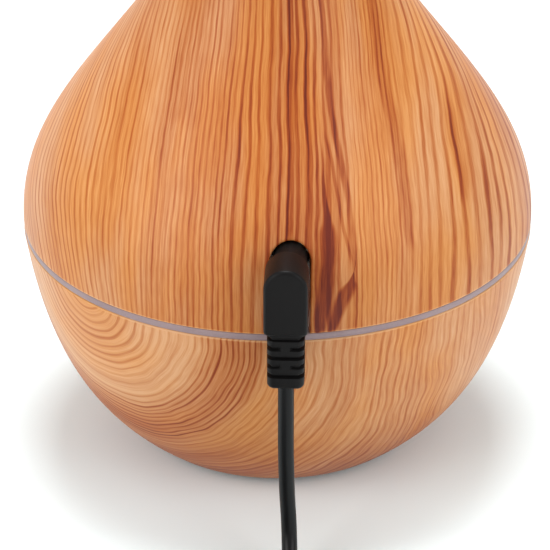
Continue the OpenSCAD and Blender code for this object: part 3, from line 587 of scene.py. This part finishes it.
def grain_wiggle(g):
    """How far the grain lines stray sideways, in millimetres."""
    x, y, z = g.axes()
    slow = g.noise(g.vector(g.times(x, 0.05), g.times(y, 0.05), g.times(z, 0.07)))
    quick = g.noise(g.vector(g.times(x, 0.3), g.times(y, 0.3), g.times(z, 0.4)))
    return g.add(g.times(g.minus(slow, 0.5), 1.6), g.times(g.minus(quick, 0.5), 0.12))


def upright_grain(g, angle):
    """A place across grain that runs up the housing and draws together where it narrows."""
    lean = g.math("POWER", g.over(g.radius(), body_r), 0.65)
    return g.times(extended_sine(g, angle), lean, body_r)


def with_front(g, back, wiggle, height):
    """Blends a back print into plain upright grain on the side with the buttons."""
    x, y, _ = g.axes()
    front_angle = g.math("ARCTAN2", x, g.times(y, -1))
    across = g.add(upright_grain(g, front_angle), wiggle, 300.0)
    front = grain_lines(g, across, height, g.over(across, 1.25), 0.72, 0.2)
    back_angle = g.math("ABSOLUTE", g.math("ARCTAN2", x, y))
    side = g.step(back_angle, math.radians(100), math.radians(120))
    return [g.add(a, g.times(g.minus(b, a), side)) for a, b in zip(back, front)]


def wood_cover_material():
    """Upright grain whose lines draw together towards the neck, with a flame beside the plug."""
    g = Graph("wood_cover_print")
    x, y, z = g.axes()
    above = g.minus(z, ring_z)
    wiggle = grain_wiggle(g)
    straight = upright_grain(g, g.math("ARCTAN2", x, y))
    sweep = g.times(g.step(straight, 16, 52), g.step(above, -4, 20, 1.0, 0.0), 6.0)
    back = g.add(straight, sweep, wiggle)

    # Back: fine lines at both sides and broad strong ones in the middle
    phase = g.curve(back, [(-90, -53), (-27, -23), (-16.5, -11.5), (7, 0.5), (20, 11.5), (90, 72)], False)
    contrast = g.curve(back, [
        (-90, 0.8), (-48, 0.85), (-30, 0.72), (-24, 0.55), (-18, 0.52), (-15, 0.6), (-9, 0.7), (0, 0.95),
        (6, 0.88), (10, 0.55), (24, 0.5), (34, 0.62), (45, 0.72), (90, 0.75),
    ])
    tone = g.curve(back, [
        (-90, 0.28), (-50, 0.26), (-40, 0.18), (-27, 0.28), (-18, 0.2), (-15.5, 0.32), (-8, 0.4),
        (0, 0.35), (7, 0.38), (12, 0.34), (20, 0.31), (30, 0.2), (50, 0.18), (90, 0.26),
    ])
    dark, lines, fibre = grain_lines(g, back, above, phase, contrast, tone)

    marks = g.add(*[streak(g, back, above, *mark) for mark in BACK_STREAKS])
    dark, lines, fibre = with_front(g, (g.add(dark, marks), lines, fibre), wiggle, above)
    rosy = g.step(g.streaks(straight, above, 9, 30, 2), 0.35, 0.7)
    return wood_shader(g, dark, lines, fibre, ring_top, 1, rosy)


def wood_base_material():
    """Rings round a knot just above the base's edge, left of the plug as seen from behind."""
    g = Graph("wood_base_print")
    knot = math.radians(43)
    centre = (body_r * math.sin(knot), body_r * math.cos(knot), ring_z + 2.5)
    x, y, z = g.axes()
    aside_x, aside_y, drop = [g.minus(a, b) for a, b in zip((x, y, z), centre)]
    aside = g.add(g.times(aside_x, aside_x), g.times(aside_y, aside_y))
    flatten = g.step(aside, 26 ** 2, 62 ** 2, 1.0, 0.45)
    away = g.math("SQRT", g.add(aside, g.times(drop, drop, flatten)))
    wiggle = g.times(g.minus(g.noise(g.position(), 0.06, 2), 0.5), 3.6)
    rho = g.add(away, wiggle)
    phase = g.curve(rho, [(0, 0), (22, 13), (27, 16.5), (37, 26), (60, 44), (75, 57), (110, 87)], False)
    contrast = g.curve(rho, [
        (0, 0.5), (18, 0.6), (22, 0.2), (25, 0.5), (30, 0.75), (35, 0.8), (39, 0.45), (60, 0.5),
        (75, 0.42), (110, 0.42),
    ])
    tone = g.curve(rho, [
        (0, 0.14), (15, 0.14), (21, 0.06), (26, 0.15), (32, 0.34), (36, 0.38), (39, 0.2), (48, 0.24),
        (58, 0.2), (75, 0.2), (110, 0.22),
    ])
    # painted shade: the print grows darker towards the bottom of the base
    tone = g.add(tone, g.step(z, 4, 26, 0.3, 0.0))
    rings = grain_lines(g, rho, z, phase, contrast, tone)
    dark, lines, fibre = with_front(g, rings, grain_wiggle(g), g.minus(z, ring_z))
    rosy = g.step(g.streaks(rho, z, 12, 30, 2), 0.25, 0.6)
    return wood_shader(g, dark, lines, fibre, ring_low, -1, rosy)


# ---- housing
shoulder_line = bezier(shoulder_curve, 44)
neck_line = bezier(neck_curve, 44)
base_line = bezier(base_curve, 56)
outer_cover = shoulder_line + neck_line[1:]


def radius_at(line, z):
    """Radius of an outline at height z, and how it changes with z."""
    if z <= line[0].y:
        return line[0].x, 0.0
    for p, q in zip(line, line[1:]):
        if z <= q.y:
            slope = (q.x - p.x) / (q.y - p.y)
            return p.x + slope * (z - p.y), slope
    return line[-1].x, 0.0


def surface_point(line, x, z, depth, side):
    """A point depth below the outside of the housing, on its +Y or -Y side."""
    radius, slope = radius_at(line, z)
    y = side * math.sqrt(radius * radius - x * x)
    normal = Vector((x / radius, y / radius, -slope)).normalized()
    return Vector((x, y, z)) - normal * depth


def cut_opening(obj, line, side, outline, rounding, reach):
    """Cuts an opening, reach deep, with a rounded edge. outline(grow) gives its (x, z) points."""
    layers = [(reach, 0.0), (rounding, 0.0)]
    for k in range(1, 5):
        rise = rounding * k / 4
        layers.append((rounding - rise, rounding - math.sqrt(rounding ** 2 - rise ** 2)))
    layers.append((-1.5, rounding + 1.2))
    loops = [
        [surface_point(line, x, z, depth, side) for x, z in outline(grow)] for depth, grow in layers
    ]
    boolean(obj, mesh_object("cutter", lofted(loops)))


def notch_outline(grow):
    """The cover's slot for the plug: straight sides, a round top, open below."""
    half = notch_w / 2 + grow
    low = ring_top - 4
    heights = [low + (jack_z - low) * i / 12 for i in range(12)]
    top = arc((jack_x, jack_z), half, 0, 180, 24)
    right = [(jack_x + half, z) for z in heights]
    left = [(jack_x - half, z) for z in reversed(heights)]
    return right + top + left


def button_outline(centre_x):
    def outline(grow):
        return arc((centre_x, button_z), button_r + button_play + grow, 0, 337.5, 47)[:-1]
    return outline


def finish_shell(obj, body, wood, node, line):
    """Wood outside, and plain plastic on the faces that lie deeper than a skin's depth."""
    skin = 1.6
    finish_piece(obj, body, wood, [node], [MATERIALS[wood], shell_inside])
    for face in obj.data.polygons:
        x, y, z = [c / MM for c in face.center]
        if math.hypot(x, y) < radius_at(line, z)[0] - skin:
            face.material_index = 1


def make_cover():
    bottom = arc((body_r - edge_round, ring_top + edge_round), edge_round, -90, 0, 4)
    outside = [p for p in shoulder_line[1:] if p.y > ring_top + edge_round + 0.2]
    lip = bezier(lip_curve, 14)[1:]
    rim = arc((mouth_r - 1, body_h - 1), 1, 0, 90, 6)[1:]
    bore = bezier([
        (mouth_bore_r + 3.2, body_h), (mouth_bore_r + 1.4, body_h), (mouth_bore_r, body_h - 1.4),
        (mouth_bore_r, body_h - 3.6),
    ], 10)
    bore_low = body_h - 7
    step = [(mouth_bore_r, bore_low), (neck_r - wall, bore_low)]
    inside = list(reversed(inner_wall(shoulder_line) + inner_wall(neck_line)[1:]))
    inside[-1] = (body_r - wall, ring_top)
    profile = bottom + outside + neck_line[1:] + lip + rim + bore + step + inside
    cover = mesh_object("cover_shell", revolved(profile))
    cut_opening(cover, outer_cover, 1, notch_outline, 0.35, 12.0)
    finish_shell(cover, "cover", "wood_cover", "top_cover", outer_cover + lip)


def screw_boss(x):
    """A tube along Y behind the buttons, for a screw of the switch board."""
    outer_r, bore_r, front_y, back_y = 2.4, 1.0, -44.6, -39.2
    section = [(outer_r, front_y), (outer_r, back_y), (bore_r, back_y), (bore_r, front_y)]
    return ring_solid([[(x + a, y, button_z + b) for a, b in circle(r, 32)] for r, y in section])


def make_base():
    pocket_r, ledge_r, boss_x = 27.55, 25.6, 16
    pocket_z, ledge_z = shell_z + 2.1, shell_z + 3.7
    top = arc((body_r - edge_round, ring_low - edge_round), edge_round, 0, 90, 4)
    outside = [p for p in base_line[2:-1] if p.y < ring_low - edge_round - 0.2]
    toe = arc((foot_r - 0.5, shell_z + 0.5), 0.5, -90, -35, 4)
    inside = [p for p in reversed(inner_wall(base_line)) if p.y > ledge_z + 0.4]
    inside[0] = (body_r - wall, ring_low)
    floor = [
        (inside[-1].x - 1, ledge_z), (ledge_r, ledge_z), (ledge_r, pocket_z), (pocket_r, pocket_z),
        (pocket_r, shell_z + 0.2), (pocket_r + 0.2, shell_z),
    ]
    base = mesh_object("base_housing", revolved(toe + outside + top + inside + floor))
    for x in (-button_x, button_x):
        cut_opening(base, base_line, -1, button_outline(x), 0.3, 6.0)
    for x in (-boss_x, boss_x):
        boolean(base, mesh_object("boss", screw_boss(x)), "UNION")
    finish_shell(base, "base", "wood_base", "base_shell", base_line)


def make_light_ring():
    """The light guide: a thin frosted band in the seam, with a leg down to the lamps."""
    leg_in, leg_out, leg_z = 43.5, 46.0, 44.0
    face_r, r, gap = body_r - 0.1, 0.18, 0.02
    profile = [
        (leg_in, leg_z), (leg_out, leg_z), (leg_out, ring_low),
        *arc((face_r - r, ring_low + r + gap), r, -90, 0, 3),
        *arc((face_r - r, ring_top - r - gap), r, 0, 90, 3),
        (leg_in, ring_top),
    ]
    ring = mesh_object("light_guide", revolved(profile))
    finish_piece(ring, "base", "frosted_ring", ["light_ring"])


def make_button(name, node, body, centre_x, mark):
    """A round cap that follows the housing, with a raised mark, on a flat flange behind."""
    rings, rounding, mark_h = 30, 0.45, 0.16
    flange_r, front_y = button_r + 0.9, flange_back_y - 0.8

    def ring(r, place):
        return [place(centre_x + a, button_z + b) for a, b in circle(r, 72)]

    def face_point(drop):
        def place(x, z):
            raised = mark_h * mark(x - centre_x, z - button_z)
            return surface_point(base_line, x, z, drop - button_proud - raised, -1)
        return place

    def flat_point(y):
        return lambda x, z: (x, y, z)

    loops = [
        ring(flange_r, flat_point(flange_back_y)), ring(flange_r, flat_point(front_y)),
        ring(button_r, flat_point(front_y)),
    ]
    loops += [ring(button_r - inset, face_point(drop)) for inset, drop in quarter_round(rounding, 6)]
    face_r = button_r - rounding
    loops += [ring(face_r * (1 - k / rings), face_point(0.0)) for k in range(1, rings)]
    button = mesh_object(name, lofted(loops), 40)
    finish_piece(button, body, "wood_base", [node], [MATERIALS["wood_base"], mark_brown])
    for face in button.data.polygons:
        x, _, z = [c / MM for c in face.center]
        if face.normal.y < 0 and mark(x - centre_x, z - button_z) > 0.5:
            face.material_index = 1


def mist_bars(x, z):
    """Mark of the mist button: three short upright bars."""
    bars = [(-1.1, 0.75), (0.0, 1.15), (1.1, 0.75)]
    return max(
        (1 - smooth(abs(x - bar_x), 0.18, 0.34)) * (1 - smooth(abs(z), half - 0.1, half + 0.1))
        for bar_x, half in bars
    )


def lamp_ring(x, z):
    """Mark of the light button: a ring round a dot."""
    r = math.hypot(x, z)
    return max(1 - smooth(abs(r - 1.35), 0.16, 0.32), 1 - smooth(r, 0.35, 0.55))


# ---- power plug
def arch_outline(inset, y):
    """The plug body's outline seen from behind: straight sides and a round top."""
    half = plug_w / 2 - inset
    top_z = plug_high[2] - plug_w / 2
    low = plug_body_low + inset
    corner = 0.7
    points = [
        *arc((plug_x + half - corner, low + corner), corner, -90, 0, 4),
        *arc((plug_x, top_z), half, 0, 180, 28),
        *arc((plug_x - half + corner, low + corner), corner, 180, 270, 4),
    ]
    return [(p.x, y, p.y) for p in points]


def plug_body():
    back = [arch_outline(inset, plug_back_y + y) for y, inset in quarter_round(0.45, 4)]
    front = [arch_outline(inset, plug_front_y - y) for inset, y in quarter_round(0.75, 6)]
    return lofted(back + front)


def plug_nose():
    """The round nose that fills the cover's slot, with a short bore for the barrel."""
    tip, bore_r, bore_depth = plug_low[1], 1.8, 2.0
    sizes = [
        (bore_r, tip + bore_depth), (bore_r, tip),
        *[(nose_r - inset, tip + y) for y, inset in quarter_round(0.3, 4)],
        (nose_r, plug_back_y + 0.5),
    ]
    return lofted([[(jack_x + a, y, jack_z + b) for a, b in circle(r, 56)] for r, y in sizes])


def relief_outline():
    """Points and outward directions on a rounded rectangle, round the lead's axis."""
    corner, flat = 1.5, 0.26
    half = Vector((relief_w / 2 - corner, relief_d / 2 - corner))
    points = []
    for out in circle(1, 72):
        middle = [h * min(max(c / flat, -1), 1) for h, c in zip(half, out)]
        points.append((Vector(middle) + Vector(out) * corner, Vector(out)))
    return points


def relief():
    """The ribbed strain relief. Every second groove leaves a bridge at the front and back."""
    top, steps, bridge = plug_body_low + 0.3, 96, 1.15
    first_groove, side, grooves, end_r = plug_body_low - 0.6, 0.22, 5, 1.0
    outline, loops = relief_outline(), []
    for i in range(steps + 1):
        z = top + (relief_low - top) * i / steps
        number, place = divmod(first_groove - z, groove_pitch)
        cut = smooth(place, 0.0, side) * (1 - smooth(place, groove_h - side, groove_h))
        if not 0 <= number < grooves:
            cut = 0.0
        end = max(0.0, relief_low + end_r - z)
        end_inset = min(end_r - math.sqrt(max(0.0, end_r ** 2 - end ** 2)), 0.95)
        loop = []
        for point, out in outline:
            depth = groove_depth * cut
            if number % 2 == 1:
                depth *= smooth(abs(point.x), bridge - 0.15, bridge + 0.35)
            spot = point - out * (depth + end_inset)
            loop.append((plug_x + spot.x, lead_y + spot.y, z))
        loops.append(loop)
    return lofted(loops)


def make_plug():
    plug = mesh_object("power_plug_body", plug_body())
    boolean(plug, mesh_object("relief", relief()), "UNION", 40)
    boolean(plug, mesh_object("nose", plug_nose()), "UNION", 40)
    return finish_piece(plug, "lead", "soft_pvc", ["plug_overmould"])


# ---- lead
def coil_points():
    """Turns wound clockwise from outside to inside, up, back out and up again.

    Each move to the next place takes a part of a turn; the moves furthest along come first,
    so that a place is free before the next turn moves into it."""
    turns, per_turn = 8.25, 24
    r_out, r_mid, r_in = coil_r + turn_pitch, coil_r, coil_r - turn_pitch
    rows = [coil_low + k * turn_pitch for k in range(3)]
    places = [
        (r_out, rows[0]), (r_mid, rows[0]), (r_in, rows[0]), (r_in, rows[1]), (r_in, rows[2]),
        (r_mid, rows[2]), (r_mid, rows[1]), (r_out, rows[1]), (r_out, rows[2]),
    ]
    moves = [(300, 360), (300, 360), (260, 310), (260, 310), (220, 270), (180, 230), (140, 190), (100, 150)]
    points = []
    for i in range(round(turns * per_turn) + 1):
        turned = 360 * i / per_turn
        number = int(turned // 360)
        local = turned - 360 * number
        r, z = places[number]
        if number < len(moves):
            start, end = moves[number]
            part = min(max((local - start) / (end - start), 0), 1)
            r += (places[number + 1][0] - r) * part
            z += (places[number + 1][1] - z) * part
        angle = math.radians(180 - turned)
        points.append((coil_x + r * math.cos(angle), coil_y + r * math.sin(angle), z))
    return points


def make_lead():
    points = [Vector(p) * MM for p in lead_route + coil_points() + tail_route]
    data = bpy.data.curves.new("lead_cord", "CURVE")
    data.dimensions = "3D"
    data.bevel_depth = lead_d / 2 * MM
    data.bevel_resolution = 6
    data.resolution_u = 5
    data.use_fill_caps = True
    line = data.splines.new("BEZIER")
    line.bezier_points.add(len(points) - 1)
    for spot, place in zip(line.bezier_points, points):
        spot.co = place
        spot.handle_left_type = spot.handle_right_type = "AUTO"
    obj = add_object("lead_cord", data)
    length = sum((q - p).length for p, q in zip(points, points[1:]))
    finish_piece(obj, "lead", "soft_pvc", ["lead_cable", "lead_coil", "lead_tail"], [cord_pvc])
    return obj, length


def usb_body():
    start, end = usb_body_x, usb_body_x + usb_len
    rounding, steps, corner = 1.1, 60, 1.7
    first_groove, grooves, groove_w, depth = 3.2, 4, 1.5, 0.28

    def section(x, inset, groove=0.0):
        half_w, half_t = usb_w / 2 - inset, usb_t / 2 - inset - groove
        outline = rounded_rectangle(half_w, half_t, corner)
        return [(x, usb_y + p.x, usb_z + p.y) for p in outline]

    ends = quarter_round(rounding, 6)
    loops = [section(start + x, inset) for x, inset in ends]
    for k in range(1, steps):
        x = start + rounding + (end - start - 2 * rounding) * k / steps
        place = (x - start - first_groove) / groove_w
        groove = depth * math.sin(math.pi * (place % 1)) ** 2 if 0 <= place < grooves else 0.0
        loops.append(section(x, 0, groove))
    loops += [section(end - x, inset) for x, inset in reversed(ends)]
    return lofted(loops)


def usb_relief():
    """A ribbed cone between the lead and the USB plug's body."""
    start, end, steps = usb_relief_x, usb_body_x + 0.6, 56
    start_r, spread, grooves, groove_w, depth = 2.2, 1.2, 3, 1.3, 0.5
    loops = []
    for i in range(steps + 1):
        x = start + (end - start) * i / steps
        r = start_r + spread * (x - start) / (usb_body_x - start)
        place = (x - start - 0.5) / groove_w
        if 0 <= place < grooves:
            r -= depth * smooth(place % 1, 0.35, 0.5) * (1 - smooth(place % 1, 0.85, 1.0))
        r -= 0.35 * (1 - smooth(x - start, 0, 0.35))
        loops.append([(x, usb_y + a, usb_z + b) for a, b in circle(r, 40)])
    return lofted(loops)


def make_usb():
    """The USB plug's grip, with a pocket in its end for the metal shell."""
    grip = mesh_object("usb_grip", usb_body())
    boolean(grip, mesh_object("usb_relief", usb_relief()), "UNION", 40)
    end, w, h = usb_body_x + usb_len, 6.05, 2.3
    corners = [(usb_y + a, usb_z + b) for a, b in ((-w, -h), (w, -h), (w, h), (-w, h))]
    pocket = lofted([[(x, y, z) for y, z in corners] for x in (end - 3, end + 1)])
    boolean(grip, mesh_object("pocket", pocket), "DIFFERENCE", 40)
    return finish_piece(grip, "lead", "soft_pvc", ["usb_overmould"])


def make_tie():
    """A flat plastic tie round the coil, its ends twisted together on the outer side."""
    angle = math.radians(tie_angle)
    outward = Vector((math.cos(angle), math.sin(angle), 0))
    sideways = Vector((-math.sin(angle), math.cos(angle), 0))
    up = Vector((0, 0, 1))
    half = turn_pitch + lead_d / 2 + 0.28
    centre = Vector((coil_x, coil_y, 0)) + outward * coil_r + up * (coil_low + turn_pitch)
    band = rounded_rectangle(half, half, 1.3)
    top = [(-1.9, 0.1), (-0.5, 0.14), (0, 0.34), (0.5, 0.14), (1.9, 0.1)]
    section = top + [(1.9, -0.1), (0.5, -0.14), (-0.5, -0.14), (-1.9, -0.1)]
    loops = []
    for i, p in enumerate(band):
        along = (band[(i + 1) % len(band)] - band[i - 1]).normalized()
        out = outward * along.y - up * along.x
        place = centre + outward * p.x + up * p.y
        loops.append([place + sideways * a + out * b for a, b in section])
    solids = [ring_solid(loops)]

    start = centre + outward * (half + 0.1) + up * 1.2
    end_len, end_gap, twists, twist_r, steps = 7.0, 2.2, 2.5, 0.35, 40
    for side in (1, -1):
        strip = []
        for i in range(steps + 1):
            part = i / steps
            apart = (end_gap - twist_r) * smooth(part, 0.6, 1.0)
            turn = twists * 2 * math.pi * min(part, 0.7)
            over = side * (sideways * math.cos(turn) + up * math.sin(turn))
            across = side * (sideways * math.sin(turn) - up * math.cos(turn))
            place = start + outward * end_len * part + up * 0.8 * part
            place += over * twist_r + sideways * side * apart
            strip.append([place + across * a * 0.6 + over * b * 0.8 for a, b in section])
        solids.append(lofted(strip))
    tie = mesh_object("lead_twist_tie", joined(*solids), 50)
    return finish_piece(tie, "lead", "tie_plastic", ["lead_tie"])


# ---- refined CAD shapes
def refined(node, name, slot, width):
    """A welded copy of a CAD node with its edges rounded, which stands for it."""
    sharp_angle = 28
    source = frame["nodes"][node]
    work = bmesh.new()
    work.from_mesh(source.data)
    bmesh.ops.remove_doubles(work, verts=work.verts, dist=0.002 * MM)
    flat_angle = math.radians(0.3)
    bmesh.ops.dissolve_limit(work, angle_limit=flat_angle, verts=work.verts, edges=work.edges)
    sharp = [
        e for e in work.edges
        if len(e.link_faces) == 2 and e.calc_face_angle(0) > math.radians(sharp_angle)
    ]
    bmesh.ops.bevel(
        work, geom=sharp, offset=width * MM, segments=2, profile=0.5, affect="EDGES",
        clamp_overlap=True,
    )
    mesh = bpy.data.meshes.new(name)
    work.to_mesh(mesh)
    work.free()
    obj = add_object(name, mesh)
    shade(obj, sharp_angle)
    finish_piece(obj, source["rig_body"], slot, [node])


def make_bottom_screw_heads():
    """Round screw heads with a cross recess, in the bottom cover."""
    screws_r, head_r, low, high = 22.5, 1.9, 1.6, 2.8
    shank_r, shank_len = 0.95, 9
    recess = [(0.3, low + 0.55), (0.9, low + 0.3), (1.15, low)]
    head = [
        (head_r - 0.3, low), (head_r - 0.08, low + 0.1), (head_r, low + 0.3), (head_r, high),
        (shank_r, high), (shank_r, high + shank_len),
    ]

    def arm(a, b):
        """How far the recess reaches in a direction, as a part of its radius."""
        return 0.42 + 0.58 * abs(a * a - b * b) ** 6

    cross = [(a * arm(a, b), b * arm(a, b)) for a, b in circle(1, 48)]
    solids = []
    for k in range(4):
        angle = math.radians(45 + 90 * k)
        x, y = screws_r * math.cos(angle), screws_r * math.sin(angle)
        loops = [[(x + r * a, y + r * b, z) for a, b in cross] for r, z in recess]
        loops += [[(x + a, y + b, z) for a, b in circle(r, 48)] for r, z in head]
        solids.append(lofted(loops))
    screws = mesh_object("bottom_cross_screws", joined(*solids), 35)
    finish_piece(screws, "base", "steel", ["bottom_screws"])


# ---- other materials
def frosted_material():
    """Milky light guide, slightly lilac, with fine scratches round it."""
    g = Graph("frosted_guide")
    x, y, z = g.axes()
    scratch = g.streaks(z, g.math("ARCTAN2", x, y), 0.08, 0.6, 2)
    cloud = g.noise(g.position(), 0.12, 3)
    fine = g.noise(g.position(), 3.0, 2)
    blend = g.add(g.times(cloud, 0.5), g.times(scratch, 0.3), g.times(fine, 0.2))
    g.shader_values(
        Base_Color=g.ramp(blend, [(0.3, (126, 106, 110)), (0.7, (150, 130, 130))]),
        Roughness=g.add(g.times(scratch, 0.16), g.times(fine, 0.1), 0.3),
        Subsurface_Weight=0.15,
        Subsurface_Radius=(0.002, 0.0016, 0.0016),
    )
    g.bump(scratch, 0.08)
    return g.material


def board_material():
    """Green circuit board: tracks under the mask and small tinned pads."""
    g = Graph("circuit_board_green")
    place = g.position()
    cells = g.node("TexVoronoi", Vector=place, Scale=0.35, Randomness=0.35)
    cells.feature = "DISTANCE_TO_EDGE"
    track = g.step(cells.outputs["Distance"], 0.05, 0.12, 1.0, 0.0)
    pads = g.node("TexVoronoi", Vector=place, Scale=0.4, Randomness=0.2)
    pad = g.step(pads.outputs["Distance"], 0.12, 0.2, 1.0, 0.0)
    cloud = g.noise(place, 0.4, 3)
    blend = g.add(g.times(track, 0.6), g.times(cloud, 0.4))
    mask = g.ramp(blend, [(0.1, (38.7, 104.6, 74.8)), (0.9, (63.2, 141.9, 100.9))])
    g.shader_values(
        Base_Color=g.mix(pad, mask, linear((205, 203, 196))),
        Roughness=g.add(g.times(cloud, 0.1), g.times(pad, -0.08), 0.35),
        Metallic=g.times(pad, 0.8),
    )
    g.bump(g.add(track, pad), 0.15)
    return g.material


def winding_material():
    """Enamelled copper wire, wound turn on turn."""
    g = Graph("copper_winding")
    wire_pitch = 0.35
    wave = g.math("SINE", g.times(g.axes()[2], 2 * math.pi / wire_pitch))
    cloud = g.noise(g.position(), 0.8, 3)
    blend = g.add(g.times(wave, 0.25), g.times(cloud, 0.5), 0.25)
    g.shader_values(
        Base_Color=g.ramp(blend, [(0.1, (120, 58, 30)), (0.8, (214, 130, 78))]),
        Roughness=g.add(g.times(cloud, 0.15), 0.22),
        Metallic=0.9,
    )
    g.bump(wave, 0.5, 0.0002)
    return g.material


def sleeve_material():
    """Capacitor: dark blue sleeve with a pale stripe, and a bare metal top."""
    g = Graph("capacitor_sleeve_blue")
    x, y, z = g.axes()
    cloud = g.noise(g.position(), 0.5, 3)
    turn = g.math("ARCTAN2", g.minus(y, 20), g.add(x, 20))
    stripe = g.step(g.math("SINE", turn), 0.9, 0.95)
    body = g.ramp(g.add(g.times(cloud, 0.4), g.times(stripe, 0.6)),
                  [(0.1, (24, 28, 62)), (0.4, (36, 42, 84)), (0.95, (180, 184, 200))])
    top = g.step(z, 25.3, 25.5)
    g.shader_values(
        Base_Color=g.mix(top, body, linear((196, 196, 200))),
        Metallic=top,
        Roughness=g.add(g.times(cloud, 0.1), 0.28),
    )
    g.bump(cloud, 0.05)
    return g.material


def lens_material():
    """Yellowish clear resin of the lamps."""
    g = Graph("lamp_lens")
    fine = g.noise(g.position(), 0.9, 2)
    g.shader_values(
        Base_Color=g.ramp(fine, [(0.3, (240, 224, 160)), (0.7, (252, 246, 214))]),
        Roughness=g.add(g.times(fine, 0.1), 0.16),
        Subsurface_Weight=0.3,
    )
    g.bump(fine, 0.05)
    return g.material


# ---- materials
shell_inside = plastic("shell_inside_beige", (205, 190, 168), 0.5, 0.5, 0.08)
mark_brown = plastic("mark_brown", (104, 58, 30), 0.4, 0.3, 0.05, tint=0.1)
cord_pvc = plastic("cord_black_pvc", (12, 12, 13), 0.36, 0.2, 0.06, tint=0.2, level=0.18)
MATERIALS = {
    "wood_cover": wood_cover_material(),
    "wood_base": wood_base_material(),
    "white_plastic": plastic("white_moulded", (238, 237, 232), 0.36, 0.5, 0.05, tint=0.012),
    "frosted_ring": frosted_material(),
    "black_plastic": plastic("black_moulded", (32, 32, 33), 0.5, 0.35, 0.16, tint=0.12),
    "black_rubber": plastic(
        "black_rubber_grain", (26, 26, 26), 0.75, 0.2, 0.25, tint=0.15, level=0.3
    ),
    "soft_pvc": plastic("plug_black_pvc", (13, 12, 12), 0.42, 0.25, 0.1, tint=0.2, level=0.13),
    "tie_plastic": plastic("tie_black_plastic", (30, 30, 32), 0.35, 0.3, 0.05, tint=0.1),
    "silicone": plastic("silicone_milky", (218, 218, 212), 0.55, 0.4, 0.05, tint=0.02),
    "steel": metal("brushed_steel", (196, 196, 200), 0.32),
    "nickel": metal("nickel_plate", (206, 202, 192), 0.22),
    "brass_contact": metal("brass", (214, 178, 96), 0.26),
    "plug_insulator": plastic("insulator_yellow", (224, 190, 60), 0.4, 0.3, 0.05),
    "copper_wire": winding_material(),
    "capacitor_sleeve": sleeve_material(),
    "circuit_board": board_material(),
    "led_lens": lens_material(),
    "magnet": metal("magnet_grey", (92, 92, 98), 0.42, (3, 3, 3)),
    "red_wire": plastic("wire_red", (190, 34, 28), 0.4, 0.2, 0.05),
    "black_wire": plastic("wire_black", (30, 30, 32), 0.4, 0.2, 0.05, tint=0.12),
    "white_wire": plastic("wire_white", (226, 226, 224), 0.4, 0.2, 0.05, tint=0.03),
    "blue_wire": plastic("wire_blue", (34, 52, 140), 0.4, 0.2, 0.05),
}


def paint_cad_nodes():
    """Gives every CAD node that still shows the material of its slot."""
    for obj in frame["nodes"].values():
        for held in obj.material_slots:
            held.material = MATERIALS[held.material.name.split(".")[0]]


# ---- stage and light
def make_floor():
    """A matt white floor. Near the object it is a little cooler, against the wood's warm bounce."""
    g = Graph("floor_white")
    fine = g.noise(g.position(), 0.02, 3)
    cool = g.ramp(fine, [(0.2, (238, 249, 251)), (0.8, (241, 252, 254))])
    plain = g.ramp(fine, [(0.2, (246, 246, 246)), (0.8, (249, 249, 249))])
    g.shader_values(
        Base_Color=g.mix(g.step(g.radius(), 70, 190), cool, plain),
        Roughness=g.add(g.times(fine, 0.1), 0.7),
        Specular_IOR_Level=0.1,
    )
    half = 3000 * MM
    mesh = bpy.data.meshes.new("floor")
    corners = [(-half, -half, 0), (half, -half, 0), (half, half, 0), (-half, half, 0)]
    mesh.from_pydata(corners, [], [(0, 1, 2, 3)])
    mesh.materials.append(g.material)
    add_object("floor", mesh)


def add_softbox(name, azimuth, elevation, distance, size, power):
    data = bpy.data.lights.new(name, "AREA")
    data.shape = "RECTANGLE"
    data.size, data.size_y = size
    data.energy = power
    look_at(name, data, Vector((0, 0, 0.06)), azimuth, elevation, distance)


def add_light():
    world = bpy.data.worlds.new("studio")
    world.use_nodes = True
    background = world.node_tree.nodes["Background"]
    background.inputs["Color"].default_value = (1, 1, 1, 1)
    background.inputs["Strength"].default_value = 0.62
    bpy.context.scene.world = world
    add_softbox("softbox_left", 130, 26, 1.1, (0.6, 0.8), 6.2)
    add_softbox("softbox_right", 235, 26, 1.1, (0.6, 0.8), 4.6)
    add_softbox("softbox_top", 0, 78, 1.0, (0.4, 0.4), 7.5)
    view = bpy.context.scene.view_settings
    view.view_transform = "Standard"
    view.look = "None"


# ---- the object
lead, lead_length = make_lead()
usb = make_usb()
tie = make_tie()
plug = make_plug()
make_cover()
make_base()
make_light_ring()
make_button("mist_button_cap", "mist_button", "mist_key", -button_x, mist_bars)
make_button("light_button_cap", "light_button", "light_key", button_x, lamp_ring)
make_bottom_screw_heads()
refined("tank", "water_tank", "white_plastic", 0.3)
refined("deck", "tank_deck", "white_plastic", 0.2)
refined("air_duct", "air_duct_cover", "white_plastic", 0.3)
refined("mist_guide", "mist_guide_tube", "white_plastic", 0.3)
refined("bottom_cover", "bottom_plate", "black_plastic", 0.2)
refined("rubber_feet", "feet_pads", "black_rubber", 0.4)
refined("dc_jack", "inlet_block", "black_plastic", 0.15)
refined("piezo_disc", "mist_disc", "nickel", 0.1)
paint_cad_nodes()
make_floor()
add_light()
